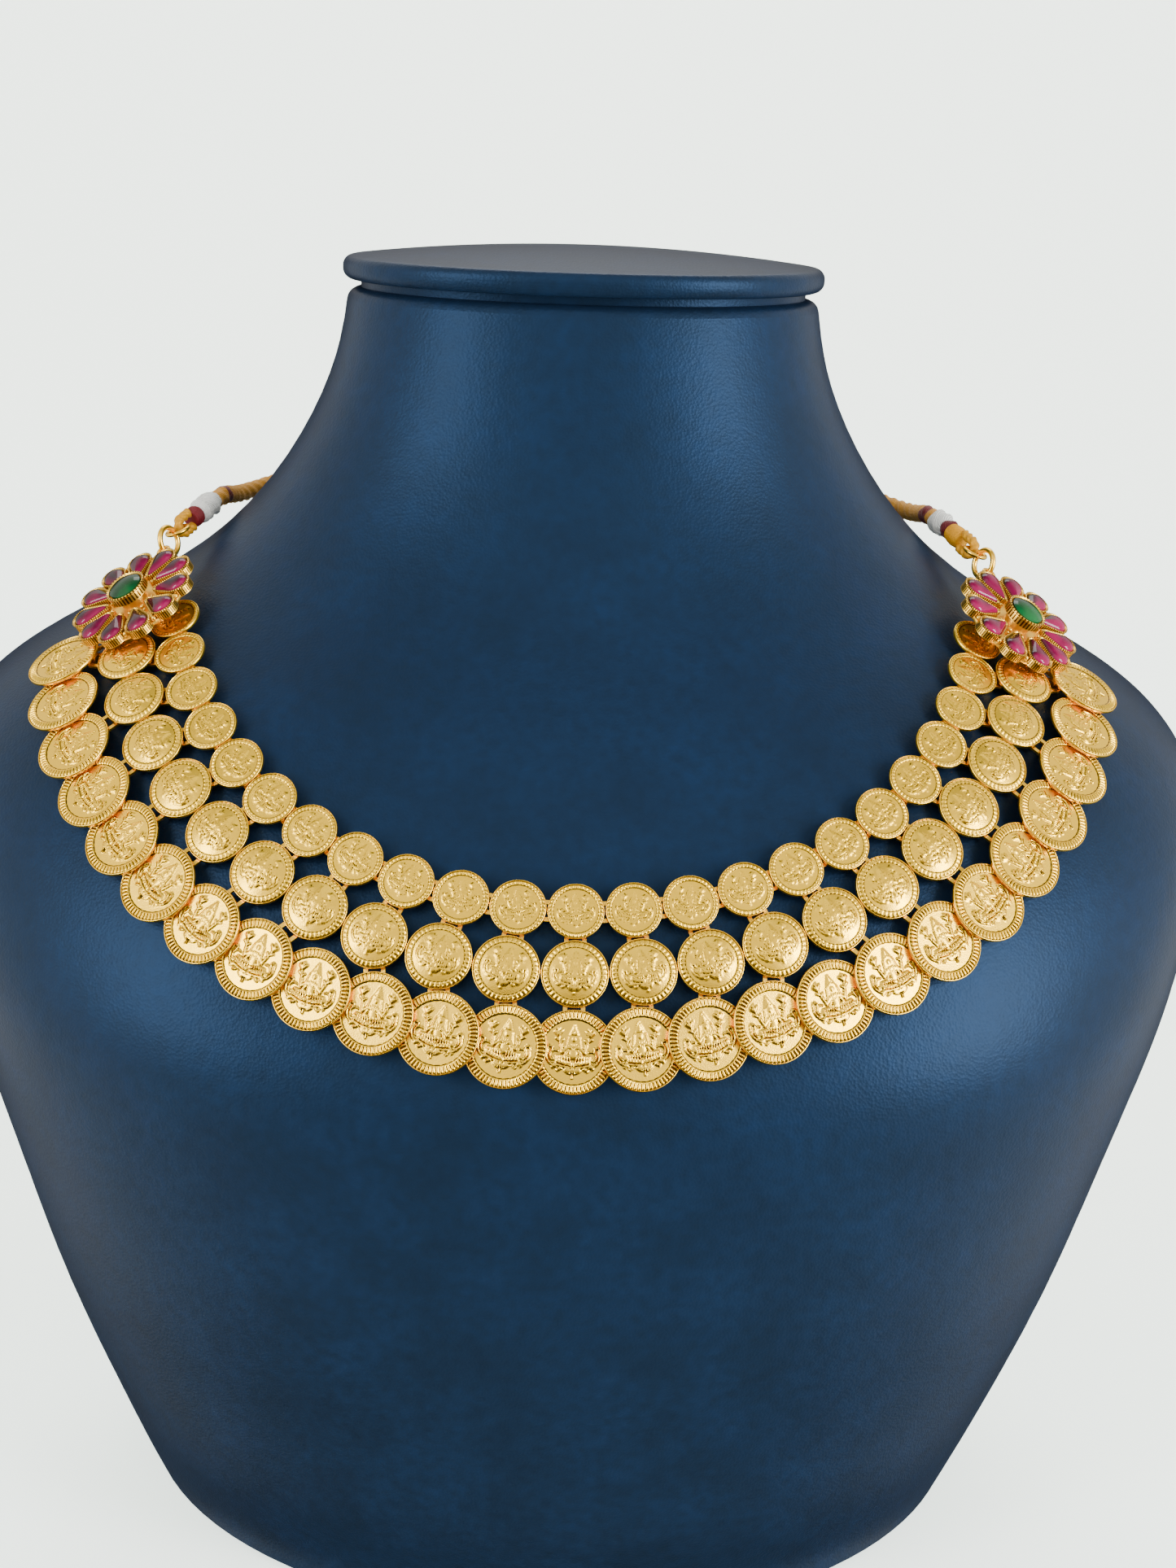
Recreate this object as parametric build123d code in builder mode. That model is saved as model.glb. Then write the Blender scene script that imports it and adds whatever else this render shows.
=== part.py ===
from build123d import *
import os
from math import atan2, cos, degrees, radians, sin, tan

# A three-row coin necklace with a stone flower at each end, on a plain neck bust.
# Millimetres, +Z up. The origin is the middle of the bust's flat underside and the front faces -Y.
# The right half is modelled, and the left half is its mirror image.

# Bust: horizontal sections, each a front and a back half ellipse meeting at the widest line
# columns: height, half width, front, middle, back
BUST_SECTIONS = [
    (1.5, 95, -73, 3, 62),
    (20, 102, -77.5, 1, 64),
    (40, 109, -82, -1, 66),
    (60, 115, -85.3, -3.7, 68),
    (80, 120, -88, -6, 70),
    (98, 124.7, -88.3, -7.5, 72),
    (115, 129, -88, -9, 74),
    (140, 135, -81, -6, 76),
    (160, 138, -68, 4, 78),
    (178, 131, -52, 16, 79),
    (194, 107, -35, 23, 79),
    (210, 80, -19, 28, 79),
    (232, 61.5, -5, 35, 79),
    (263, 51.8, 7, 44, 81),
    (272, 50.5, 10, 46.5, 83),
]
NECK_TOP = (0, 44, 263)
NECK_LEAN = 4
NECK_EDGE_RADIUS = 3
BASE_CHAMFER = 1.5
GROOVE_HEIGHT = 1.6
GROOVE_DEPTH = 4
CAP_HALF_WIDTH = 53
CAP_HALF_DEPTH = 38
CAP_EDGE = 4.8
CAP_EDGE_RADIUS = 2.2
CAP_DOME = 3.5
SEAT_GAP = 0.1

# Coins
COIN_THICKNESS = 0.75
COIN_CHAMFER = 0.15
RIM_HEIGHT = 0.25
RIM_WIDTH = 0.55
RELIEF = 0.3
LARGE_RADIUS = 8
MIDDLE_RADIUS = 6.45
SMALL_RADIUS = 5.45
MIDDLE_DOME = 0.8
FIGURE_SHARE = 0.95
FLUTES = 36
FLUTE_LENGTH = 1.05
FLUTE_WIDTH = 0.4
FLUTE_AT = 6.75

# Rows: the line of each row over the right half of the chest, from the middle coin outwards
LARGE_GUIDE = [(0, -84.2, 139.7), (38.5, -79.1, 144.4), (72.8, -64, 155.5), (97.2, -40.5, 172.7), (109, -8.5, 189.4),
               (110.5, 8, 197)]
MIDDLE_GUIDE = [(0, -77, 152.7), (38.8, -71, 157), (61.4, -60.5, 165), (86.2, -35.5, 182), (95, -13, 193.4),
                (96.5, 4, 201)]
SMALL_GUIDE = [(0, -69.5, 162.5), (32.8, -64.7, 165.8), (60.2, -50.2, 176), (78.9, -26.7, 190.4),
               (85.2, -7.3, 199.7), (86.3, 8, 206)]
LARGE_PITCH = 12.9
MIDDLE_PITCH = 13.07
SMALL_PITCH = 11.1
LARGE_EACH_SIDE = 12
MIDDLE_EACH_SIDE = 10
SMALL_EACH_SIDE = 11
CHEST_CENTRE = (0, 15, 110)
LARGE_STAND_OFF = 2.2
MIDDLE_STAND_OFF = 2.3
SMALL_STAND_OFF = 2.2
LARGE_TILT = 6
LARGE_LIFT = 0.65
# The large coin, counted from the middle, that hangs from each middle coin
HANGS_FROM_MIDDLE = [0, 1, 2, 3, 5, 6, 7, 8, 9, 10, 12]

# Flat wire links behind the coins, and the strap eyes soldered on the coins' backs
LINK_WIRE = 0.8
LINK_THICKNESS = 0.55
LINK_WIDTH = 4.2
LINK_CORNER = 1
BAR_DEPTH = 0.7
SMALL_LINK_SPAN = 3
ROW_LINK_SPAN = 3.2
DROP_LINK_SPAN = 3.6
LAP_LINK_SPAN = 3.4
LAP_REACH = 6
FLOWER_REACH_INSET = 1.45
EYE_STRAP = 0.5
EYE_WIDTH = 1.3
EYE_HOLE = 1.3
EYE_DROP = 0.5
EYE_SINK = 0.3

# Flowers
FLOWER_BACK = (92.9, -1.6, 202.2)
FLOWER_NORMAL = (0.45, -0.335, 0.83)
RING_TOWARDS = (-0.264, 0.838, 0.481)
PETALS = 11
PETAL_TURN = 180 / PETALS
CUP_HEIGHT = 2.2
CUP_WALL = 0.6
CUP_FLOOR = 0.9
PETAL_ROUND_RADIUS = 2.3
PETAL_ROUND_AT = 11.3
PETAL_POINT_RADIUS = 0.45
PETAL_POINT_AT = 6.6
STONE_GAP = 0.12
RUBY_CROWN_RADIUS = 7.2
RUBY_CROWN_AT = 10.2
RUBY_TOP = 3.15
PLATE_RADIUS = 12.6
PLATE_THICKNESS = 0.8
STEM_RADIUS = 3.2
CENTRE_CUP_RADIUS = 4.35
CENTRE_CUP_BOTTOM = 2.2
CENTRE_CUP_TOP = 4.9
CENTRE_SEAT = 3.2
GREEN_CROWN_RADIUS = 7
GREEN_TOP = 5.95
GRANULE_RADIUS = 0.6
GRANULE_AT = 12
LUG_AT = 15.6
LUG_RADIUS = 1.7
LUG_HOLE_RADIUS = 0.95
LUG_THICKNESS = 1

# Rings and thread cord
CHAIN_AXIS = (-0.37, 0.905, 0.21)
FLOWER_RING_RADIUS = 3
FLOWER_RING_WIRE = 0.6
CORD_RING_RADIUS = 2.4
CORD_RING_WIRE = 0.45
RING_PLAY = 0.15
LOOP_THREAD = 1
LOOP_BEND = 1.6
LOOP_LEG = 3.2
WRAP_LENGTH = 4.8
WRAP_RADIUS = 2.7
CORD_RADIUS = 2.3
CORD_FIRST_RUN = 10
# The cord's route on the right, after its first run, from the shoulder to the back of the neck
CORD_ROUTE = [(78.3, 50.5, 213.4), (68.5, 66, 214), (48.5, 78, 217.5), (25, 82.5, 221)]
ARC_SHARE = 0.45

os.makedirs("parts", exist_ok=True)


def save(shape, name):
    shape.label = name
    export_step(shape, f"parts/{name}.step")


def mirrored(shape):
    return mirror(shape, about=Plane.YZ)


def save_pair(shape, name):
    save(shape, f"right_{name}")
    save(mirrored(shape), f"left_{name}")


def save_string(shapes, name):
    """Write loose pieces as one node: those given, and the mirror image of each that is off the middle."""
    both = shapes + [mirrored(shape) for shape in shapes if shape.center().X > 1]
    save(Compound(children=[solid for shape in both for solid in shape.solids()]), name)


# Bust body: one padded form from the flat base over the shoulders to the neck
neck_plane = Plane(NECK_TOP, x_dir=(1, 0, 0), z_dir=(0, sin(radians(NECK_LEAN)), cos(radians(NECK_LEAN))))

with BuildPart() as bust_body:
    for height, half_width, front, middle, back in BUST_SECTIONS:
        with BuildSketch(Plane.XY.offset(height)):
            with BuildLine():
                EllipticalCenterArc((0, middle), half_width, middle - front, start_angle=180, arc_size=180)
                EllipticalCenterArc((0, middle), half_width, back - middle, start_angle=0, arc_size=180)
            make_face()
    loft()
    height, half_width, front, middle, back = BUST_SECTIONS[0]
    for level, inset in ((0, BASE_CHAMFER), (height, 0)):
        with BuildSketch(Plane.XY.offset(level)):
            with BuildLine():
                EllipticalCenterArc((0, middle), half_width - inset, middle - front - inset,
                                    start_angle=180, arc_size=180)
                EllipticalCenterArc((0, middle), half_width - inset, back - middle - inset,
                                    start_angle=0, arc_size=180)
            make_face()
    loft(ruled=True)
    split(bisect_by=neck_plane, keep=Keep.BOTTOM)
    chest_face = bust_body.faces().sort_by(SortBy.AREA)[-2:].sort_by(Axis.Y)[0]
    fillet(bust_body.faces().sort_by(Axis.Z)[-1].edges(), NECK_EDGE_RADIUS)
    with BuildSketch(neck_plane):
        Ellipse(CAP_HALF_WIDTH - GROOVE_DEPTH, CAP_HALF_DEPTH - GROOVE_DEPTH)
    extrude(amount=GROOVE_HEIGHT)
save(bust_body.part, "bust_body")

# Cap: a domed disc with a rounded edge, turned round and narrowed to the neck's oval
with BuildPart() as round_cap:
    with BuildSketch(Plane.XZ) as cap_profile:
        with BuildLine():
            Polyline((0, CAP_EDGE + CAP_DOME), (0, 0), (CAP_HALF_WIDTH, 0), (CAP_HALF_WIDTH, CAP_EDGE))
            ThreePointArc((CAP_HALF_WIDTH, CAP_EDGE), (CAP_HALF_WIDTH / 2, CAP_EDGE + 0.75 * CAP_DOME),
                          (0, CAP_EDGE + CAP_DOME))
        make_face()
        fillet(cap_profile.vertices().group_by(Axis.X)[-1], CAP_EDGE_RADIUS)
    revolve(axis=Axis.Z)
oval_cap = scale(round_cap.part, by=(1, CAP_HALF_DEPTH / CAP_HALF_WIDTH, 1))
with BuildPart() as bust_cap:
    with Locations(neck_plane.offset(GROOVE_HEIGHT + SEAT_GAP).location):
        add(oval_cap)
save(bust_cap.part, "bust_cap")


def on_chest(guide_point):
    """The chest's skin over a guide point: where it is, and which way it faces."""
    line = Axis(CHEST_CENTRE, Vector(guide_point) - Vector(CHEST_CENTRE))
    point, normal = chest_face.find_intersection_points(line)[-1]
    return point, normal if normal.dot(line.direction) > 0 else -normal


def coin_row(radius, guide, pitch, each_side, stand_off, tilt=0, lift=0):
    """A row's coins from the middle outwards: back plane, radius, and an empty list for eyes.

    A back plane's Z is the way the coin faces, its Y points to the neck and its X runs along the row. A tilted
    coin has its edge towards the middle raised, so that it laps over the coin before it.
    """
    line = Spline([(-x, y, z) for x, y, z in reversed(guide[1:])] + guide)

    def centre(along):
        point, normal = on_chest(line.position_at(along))
        return point + normal * (stand_off + COIN_THICKNESS / 2), normal

    places = [(0.5, *centre(0.5))]
    for _ in range(each_side + 1):
        low, last = places[-1][:2]
        high = min(low + 0.1, 1)
        while high - low > 1e-5:
            trial = (low + high) / 2
            if (centre(trial)[0] - last).length < pitch:
                low = trial
            else:
                high = trial
        places.append((low, *centre(low)))

    coins = []
    for index in range(each_side + 1):
        point, normal = places[index][1:]
        before = places[index - 1][1] if index else Vector(-places[1][1].X, places[1][1].Y, places[1][1].Z)
        row = places[index + 1][1] - before
        row = (row - normal * row.dot(normal)).normalized()
        lean = radians(tilt) if index else 0
        face = normal * cos(lean) + row * sin(lean)
        origin = point + normal * (lift if index else 0) - face * (COIN_THICKNESS / 2)
        back = Plane(origin, x_dir=row * cos(lean) - normal * sin(lean), z_dir=face)
        coins.append({"back": back, "radius": radius, "eyes": []})
    return coins


large_coins = coin_row(LARGE_RADIUS, LARGE_GUIDE, LARGE_PITCH, LARGE_EACH_SIDE, LARGE_STAND_OFF, LARGE_TILT,
                       LARGE_LIFT)
middle_coins = coin_row(MIDDLE_RADIUS, MIDDLE_GUIDE, MIDDLE_PITCH, MIDDLE_EACH_SIDE, MIDDLE_STAND_OFF)
small_coins = coin_row(SMALL_RADIUS, SMALL_GUIDE, SMALL_PITCH, SMALL_EACH_SIDE, SMALL_STAND_OFF)


def limb(start, end, width):
    """A round-ended bar of the struck figure, from start to end."""
    run = Vector(end) - Vector(start)
    with Locations(Location((Vector(start) + Vector(end)) / 2, degrees(atan2(run.Y, run.X)))):
        SlotCenterToCenter(run.length, width)


# A seated figure on a lotus, with a tall crown and a lotus held up at each side, in coin radii
with BuildSketch() as seated_figure:
    Polygon((0, 0.72), (-0.09, 0.46), (-0.16, 0.36), (-0.05, 0.3), (0.05, 0.3), (0.16, 0.36), (0.09, 0.46),
            align=None)
    Polygon((-0.17, 0.2), (-0.05, 0.3), (0.05, 0.3), (0.17, 0.2), (0.1, -0.12), (-0.1, -0.12), align=None)
    with Locations((0, -0.2)):
        Ellipse(0.42, 0.12)
    for side in (-1, 1):
        limb((side * 0.15, 0.18), (side * 0.32, 0.08), 0.07)
        limb((side * 0.32, 0.08), (side * 0.36, 0.3), 0.055)
        limb((side * 0.14, 0.12), (side * 0.26, -0.14), 0.06)
        with Locations((side * 0.37, 0.38)):
            Circle(0.085)
    with Locations((0, -0.37)):
        SlotOverall(0.62, 0.06)
    for turn in (-44, -22, 0, 22, 44):
        with Locations(Location((0.5 * sin(radians(turn)), -0.02 - 0.5 * cos(radians(turn))), turn)):
            Ellipse(0.085, 0.13)


def struck_figure(radius, dome_radius=0, dome=0):
    """The figure in relief, standing on half the coin's thickness, its top following a dome where there is one."""
    with BuildPart() as figure:
        with BuildSketch(Plane.XY.offset(COIN_THICKNESS / 2)):
            add(scale(seated_figure.sketch, by=radius * FIGURE_SHARE, mode=Mode.PRIVATE))
        extrude(amount=COIN_THICKNESS / 2 + dome + RELIEF)
        if dome:
            with Locations((0, 0, COIN_THICKNESS + dome + RELIEF - dome_radius)):
                Sphere(dome_radius, mode=Mode.INTERSECT)
    return figure.part


def coin_blank(radius, dome=0, flutes=0):
    """A struck coin with its back on the XY plane: rim, field, figure and, where asked, a fluted border."""
    field = radius - RIM_WIDTH - 0.1
    rim_top = COIN_THICKNESS + RIM_HEIGHT
    dome_radius = (field**2 + dome**2) / (2 * dome) if dome else 0
    figure = struck_figure(radius, dome_radius, dome)
    with BuildPart() as coin:
        with BuildSketch(Plane.XZ):
            with BuildLine():
                Polyline((0, COIN_THICKNESS + dome), (0, 0), (radius - COIN_CHAMFER, 0), (radius, COIN_CHAMFER),
                         (radius, rim_top - COIN_CHAMFER), (radius - COIN_CHAMFER, rim_top),
                         (radius - RIM_WIDTH, rim_top), (field, COIN_THICKNESS))
                if dome:
                    half = field / 2
                    half_height = COIN_THICKNESS + dome - dome_radius + (dome_radius**2 - half**2) ** 0.5
                    ThreePointArc((field, COIN_THICKNESS), (half, half_height), (0, COIN_THICKNESS + dome))
                else:
                    Line((field, COIN_THICKNESS), (0, COIN_THICKNESS))
            make_face()
        revolve(axis=Axis.Z)
        if flutes:
            with BuildSketch(Plane.XY.offset(COIN_THICKNESS / 2)):
                with PolarLocations(FLUTE_AT, flutes):
                    Rectangle(FLUTE_LENGTH, FLUTE_WIDTH)
            extrude(amount=COIN_THICKNESS / 2 + RIM_HEIGHT)
        add(figure)
    return coin.part


def link_ring(span):
    """A flat rectangular wire ring whose end bars lie a span apart along X."""
    with BuildPart() as ring:
        with BuildSketch():
            RectangleRounded(span + LINK_WIRE, LINK_WIDTH, LINK_CORNER)
            RectangleRounded(span - LINK_WIRE, LINK_WIDTH - 2 * LINK_WIRE, LINK_CORNER - LINK_WIRE,
                             mode=Mode.SUBTRACT)
        extrude(amount=LINK_THICKNESS / 2, both=True)
    return ring.part


def eye(bar, along, up, back):
    """Strap eye round a link's end bar: a U of strap whose two legs rise into the back of its piece."""
    def leg_top(x):
        return (back.origin - bar - along * x).dot(back.z_dir) / up.dot(back.z_dir) + EYE_SINK

    inner = EYE_HOLE / 2
    outer = inner + EYE_STRAP
    bottom = -EYE_DROP
    with BuildPart() as strap:
        with BuildSketch(Plane(bar, x_dir=along, z_dir=along.cross(up))):
            Polygon((-outer, bottom - EYE_STRAP), (outer, bottom - EYE_STRAP), (outer, leg_top(outer)),
                    (inner, leg_top(inner)), (inner, bottom), (-inner, bottom), (-inner, leg_top(-inner)),
                    (-outer, leg_top(-outer)), align=None)
        extrude(amount=EYE_WIDTH / 2, both=True)
    return strap.part


def join(first, second, span, reach=None):
    """Link two pieces and give each its eye. Returns the link.

    With a reach the link lies flat behind the first piece, that far from its middle, and the second laps over.
    Otherwise the two end bars share the distance so that both eyes are as far from their rims.
    """
    one = first["back"]
    other = second["back"]

    def towards(plane, target):
        along = target - plane.origin
        return (along - plane.z_dir * along.dot(plane.z_dir)).normalized()

    if reach:
        along = towards(one, other.origin)
        up = one.z_dir
        middle = one.origin + along * (reach + span / 2) - up * BAR_DEPTH
    else:
        distance = (other.origin - one.origin).length
        inset = (first["radius"] + second["radius"] + span - distance) / 2
        one_bar = one.origin + towards(one, other.origin) * (first["radius"] - inset) - one.z_dir * BAR_DEPTH
        other_bar = (other.origin + towards(other, one.origin) * (second["radius"] - inset)
                     - other.z_dir * BAR_DEPTH)
        middle = (one_bar + other_bar) / 2
        along = (other_bar - one_bar).normalized()
        up = one.z_dir + other.z_dir
        up = (up - along * up.dot(along)).normalized()
    first["eyes"].append(eye(middle - along * (span / 2), along, up, one))
    second["eyes"].append(eye(middle + along * (span / 2), along, up, other))
    return link_ring(span).moved(Plane(middle, x_dir=along, z_dir=up).location)


# Flower frame: on the flower's back, X towards the rings, Z the way the flower faces
flower_plane = Plane(FLOWER_BACK, x_dir=RING_TOWARDS, z_dir=FLOWER_NORMAL)
flower = {"back": flower_plane, "radius": PLATE_RADIUS, "eyes": []}

# Links: along the small and large rows, between the rows, and from each row's end to the flower
small_row_links = [join(one, other, SMALL_LINK_SPAN) for one, other in zip(small_coins, small_coins[1:])]
large_row_links = [join(one, other, LAP_LINK_SPAN, LAP_REACH) for one, other in zip(large_coins, large_coins[1:])]
small_to_middle_links = [join(one, other, ROW_LINK_SPAN) for one, other in zip(small_coins, middle_coins)]
middle_to_large_links = [join(middle_coins[index], large_coins[hanging], DROP_LINK_SPAN)
                         for index, hanging in enumerate(HANGS_FROM_MIDDLE)]
flower_links = [join(row[-1], flower, LAP_LINK_SPAN, row[-1]["radius"] - FLOWER_REACH_INSET)
                for row in (small_coins, middle_coins, large_coins)]
save_string(small_row_links, "small_row_links")
save_string(large_row_links, "large_row_links")
save_string(small_to_middle_links, "small_to_middle_links")
save_string(middle_to_large_links, "middle_to_large_links")
save_string(flower_links, "flower_links")


def finished_coins(coins, blank):
    """Each coin of a row with its eyes soldered on, the middle one with those of its other side too."""
    finished = []
    for index, coin in enumerate(coins):
        with BuildPart() as struck_coin:
            add(coin["eyes"])
            if index == 0:
                add([mirrored(one_eye) for one_eye in coin["eyes"] if one_eye.center().X > 1])
            with Locations(coin["back"].location):
                add(blank)
        finished.append(struck_coin.part)
    return finished


save_string(finished_coins(small_coins, coin_blank(SMALL_RADIUS)), "small_coins")
save_string(finished_coins(middle_coins, coin_blank(MIDDLE_RADIUS, MIDDLE_DOME)), "middle_coins")
for index, coin in enumerate(finished_coins(large_coins, coin_blank(LARGE_RADIUS, flutes=FLUTES))):
    if index:
        save(coin, f"large_coin_right_{index:02d}")
        save(mirrored(coin), f"large_coin_left_{index:02d}")
    else:
        save(coin, "large_coin_centre")


def petal_outline(grow):
    """A drop shape along X with its point towards the flower's middle, drawn larger by a margin."""
    with BuildSketch() as petal:
        with Locations((PETAL_ROUND_AT, 0)):
            Circle(PETAL_ROUND_RADIUS + grow)
        with Locations((PETAL_POINT_AT, 0)):
            Circle(PETAL_POINT_RADIUS + grow)
        make_hull()
    return petal.sketch


# Flower setting: back plate, petal cups, stem with the raised centre cup, granules and a lug, all soldered
with BuildPart() as flower_blank:
    Cylinder(PLATE_RADIUS, PLATE_THICKNESS, align=(Align.CENTER, Align.CENTER, Align.MIN))
    with BuildSketch():
        with PolarLocations(0, PETALS, start_angle=PETAL_TURN):
            add(petal_outline(CUP_WALL))
    extrude(amount=CUP_HEIGHT)
    with BuildSketch(Plane.XY.offset(CUP_FLOOR)):
        with PolarLocations(0, PETALS, start_angle=PETAL_TURN):
            add(petal_outline(0))
    extrude(amount=CUP_HEIGHT, mode=Mode.SUBTRACT)
    Cylinder(STEM_RADIUS, CENTRE_CUP_TOP - 1, align=(Align.CENTER, Align.CENTER, Align.MIN))
    with Locations((0, 0, CENTRE_CUP_BOTTOM)):
        Cylinder(CENTRE_CUP_RADIUS, CENTRE_CUP_TOP - CENTRE_CUP_BOTTOM,
                 align=(Align.CENTER, Align.CENTER, Align.MIN))
    with Locations((0, 0, CENTRE_SEAT)):
        Cylinder(CENTRE_CUP_RADIUS - CUP_WALL, CENTRE_CUP_TOP, align=(Align.CENTER, Align.CENTER, Align.MIN),
                 mode=Mode.SUBTRACT)
    with Locations((0, 0, PLATE_THICKNESS + GRANULE_RADIUS / 2)):
        with PolarLocations(GRANULE_AT, PETALS):
            Sphere(GRANULE_RADIUS)
    with BuildSketch():
        with Locations((LUG_AT, 0)):
            Circle(LUG_RADIUS)
        with Locations((LUG_AT - LUG_RADIUS, 0)):
            Rectangle(2 * LUG_RADIUS, LUG_RADIUS)
    extrude(amount=LUG_THICKNESS)
    with Locations((LUG_AT, 0, 0)):
        Cylinder(LUG_HOLE_RADIUS, 3 * LUG_THICKNESS, mode=Mode.SUBTRACT)
with BuildPart() as flower_setting:
    add(flower["eyes"])
    with Locations(flower_plane.location):
        add(flower_blank.part)
save_pair(flower_setting.part, "flower_setting")

# Ruby petals: drop-shaped cabochons, each seated in its cup
with BuildPart() as ruby_stone:
    with BuildSketch(Plane.XY.offset(CUP_FLOOR + SEAT_GAP)):
        add(petal_outline(-STONE_GAP))
    extrude(amount=RUBY_TOP)
    with Locations((RUBY_CROWN_AT, 0, RUBY_TOP - RUBY_CROWN_RADIUS)):
        Sphere(RUBY_CROWN_RADIUS, mode=Mode.INTERSECT)
with BuildPart() as ruby_petals:
    with Locations(flower_plane.location):
        with PolarLocations(0, PETALS, start_angle=PETAL_TURN):
            add(ruby_stone.part)
save_pair(Compound(children=list(ruby_petals.solids())), "ruby_petals")

# Green stone: the round cabochon in the centre cup
with BuildPart() as round_stone:
    with Locations((0, 0, CENTRE_SEAT + SEAT_GAP)):
        Cylinder(CENTRE_CUP_RADIUS - CUP_WALL - STONE_GAP, GREEN_TOP,
                 align=(Align.CENTER, Align.CENTER, Align.MIN))
    with Locations((0, 0, GREEN_TOP - GREEN_CROWN_RADIUS)):
        Sphere(GREEN_CROWN_RADIUS, mode=Mode.INTERSECT)
with BuildPart() as green_stone:
    with Locations(flower_plane.location):
        add(round_stone.part)
save_pair(green_stone.part, "green_stone")

# Rings: an upright one through the flower's lug, and a flat one through the first, on the chain's line
chain = Vector(CHAIN_AXIS).normalized()
ring_side = flower_plane.y_dir
chain_up = chain.cross(ring_side).normalized()
lug_play = LUG_HOLE_RADIUS - FLOWER_RING_WIRE - RING_PLAY
flower_ring_centre = flower_plane.from_local_coords(
    Vector(LUG_AT + lug_play + FLOWER_RING_RADIUS, 0, LUG_THICKNESS / 2))
ring_step = (FLOWER_RING_RADIUS + CORD_RING_RADIUS - FLOWER_RING_WIRE - CORD_RING_WIRE) - RING_PLAY
cord_ring_centre = flower_ring_centre + (flower_plane.x_dir + chain).normalized() * ring_step

with BuildPart() as flower_ring:
    with Locations(Plane(flower_ring_centre, x_dir=flower_plane.x_dir, z_dir=ring_side).location):
        Torus(FLOWER_RING_RADIUS, FLOWER_RING_WIRE)
save_pair(flower_ring.part, "flower_ring")
with BuildPart() as cord_ring:
    with Locations(Plane(cord_ring_centre, x_dir=chain, z_dir=chain_up).location):
        Torus(CORD_RING_RADIUS, CORD_RING_WIRE)
save_pair(cord_ring.part, "cord_ring")

# Cord loop: a U of wound thread round the cord ring's far side
loop_centre = cord_ring_centre + chain * CORD_RING_RADIUS
wrap_face = loop_centre + chain * LOOP_LEG
loop_plane = Plane(loop_centre, x_dir=chain, z_dir=ring_side)
with BuildPart() as cord_loop:
    with BuildLine(loop_plane) as loop_path:
        Line((LOOP_LEG, LOOP_BEND), (0, LOOP_BEND))
        RadiusArc((0, LOOP_BEND), (0, -LOOP_BEND), -LOOP_BEND)
        Line((0, -LOOP_BEND), (LOOP_LEG, -LOOP_BEND))
    with BuildSketch(Plane(loop_path.line @ 0, z_dir=loop_path.line % 0)):
        Circle(LOOP_THREAD)
    sweep()
save_pair(cord_loop.part, "cord_loop")

# Cord wrap: the thread sleeve that holds the loop's two ends on the cord
with BuildPart() as cord_wrap:
    with BuildSketch(Plane(wrap_face, z_dir=chain)):
        Circle(WRAP_RADIUS)
    extrude(amount=WRAP_LENGTH)
save_pair(cord_wrap.part, "cord_wrap")

# Neck cord: from wrap to wrap round the back of the neck, straight runs joined by tangent arcs
cord_start = wrap_face + chain * WRAP_LENGTH
half_route = [cord_start, cord_start + chain * CORD_FIRST_RUN] + [Vector(point) for point in CORD_ROUTE]
route = half_route + [Vector(-point.X, point.Y, point.Z) for point in reversed(half_route)]
arc_radii = []
for before, corner, after in zip(route, route[1:], route[2:]):
    turn = (corner - before).get_angle(after - corner)
    shorter = min((corner - before).length, (after - corner).length)
    arc_radii.append(ARC_SHARE * shorter / tan(radians(turn / 2)))
with BuildPart() as neck_cord:
    with BuildLine() as cord_path:
        FilletPolyline(*route, radius=arc_radii)
    with BuildSketch(Plane(cord_start, z_dir=chain)):
        Circle(CORD_RADIUS)
    sweep()
save(neck_cord.part, "neck_cord")

cord_length = sum(edge.length for edge in cord_path.edges())
print("cord length", round(cord_length, 1), "arc radii", [round(radius, 1) for radius in arc_radii])
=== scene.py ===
import math

import bpy
import numpy as np
from mathutils import Matrix, Vector


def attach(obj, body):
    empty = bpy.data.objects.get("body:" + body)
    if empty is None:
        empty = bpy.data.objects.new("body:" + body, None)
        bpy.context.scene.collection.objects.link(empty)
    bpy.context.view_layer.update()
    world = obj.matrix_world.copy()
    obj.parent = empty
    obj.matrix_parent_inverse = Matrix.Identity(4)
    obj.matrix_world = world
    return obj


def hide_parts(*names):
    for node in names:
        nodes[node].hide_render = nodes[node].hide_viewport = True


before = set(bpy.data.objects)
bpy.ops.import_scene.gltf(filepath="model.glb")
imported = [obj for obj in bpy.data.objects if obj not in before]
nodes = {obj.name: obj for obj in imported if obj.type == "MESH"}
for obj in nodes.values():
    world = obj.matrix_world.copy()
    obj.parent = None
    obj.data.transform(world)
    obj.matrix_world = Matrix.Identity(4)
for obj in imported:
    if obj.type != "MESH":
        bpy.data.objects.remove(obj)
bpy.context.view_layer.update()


# Camera, in front of the bust and a little above it, looking down on the chest. It is held about two degrees
# out of level, as the photographer's was, so the right shoulder sits lower in the picture.
CAMERA_AT = Vector((-0.01086, -0.4908, 0.3421))
CAMERA_AIM = Vector((0.00098, -0.085, 0.1944))
CAMERA_ROLL = math.radians(2.0)
LENS_MM = 55.06
bpy.ops.object.camera_add(location=CAMERA_AT)
camera = bpy.context.object
look = (CAMERA_AIM - CAMERA_AT).to_track_quat("-Z", "Y").to_matrix()
camera.rotation_euler = (look @ Matrix.Rotation(CAMERA_ROLL, 3, "Z")).to_euler()
camera.data.sensor_fit = "VERTICAL"
camera.data.sensor_height = 36
camera.data.lens = LENS_MM
bpy.context.scene.camera = camera


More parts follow.
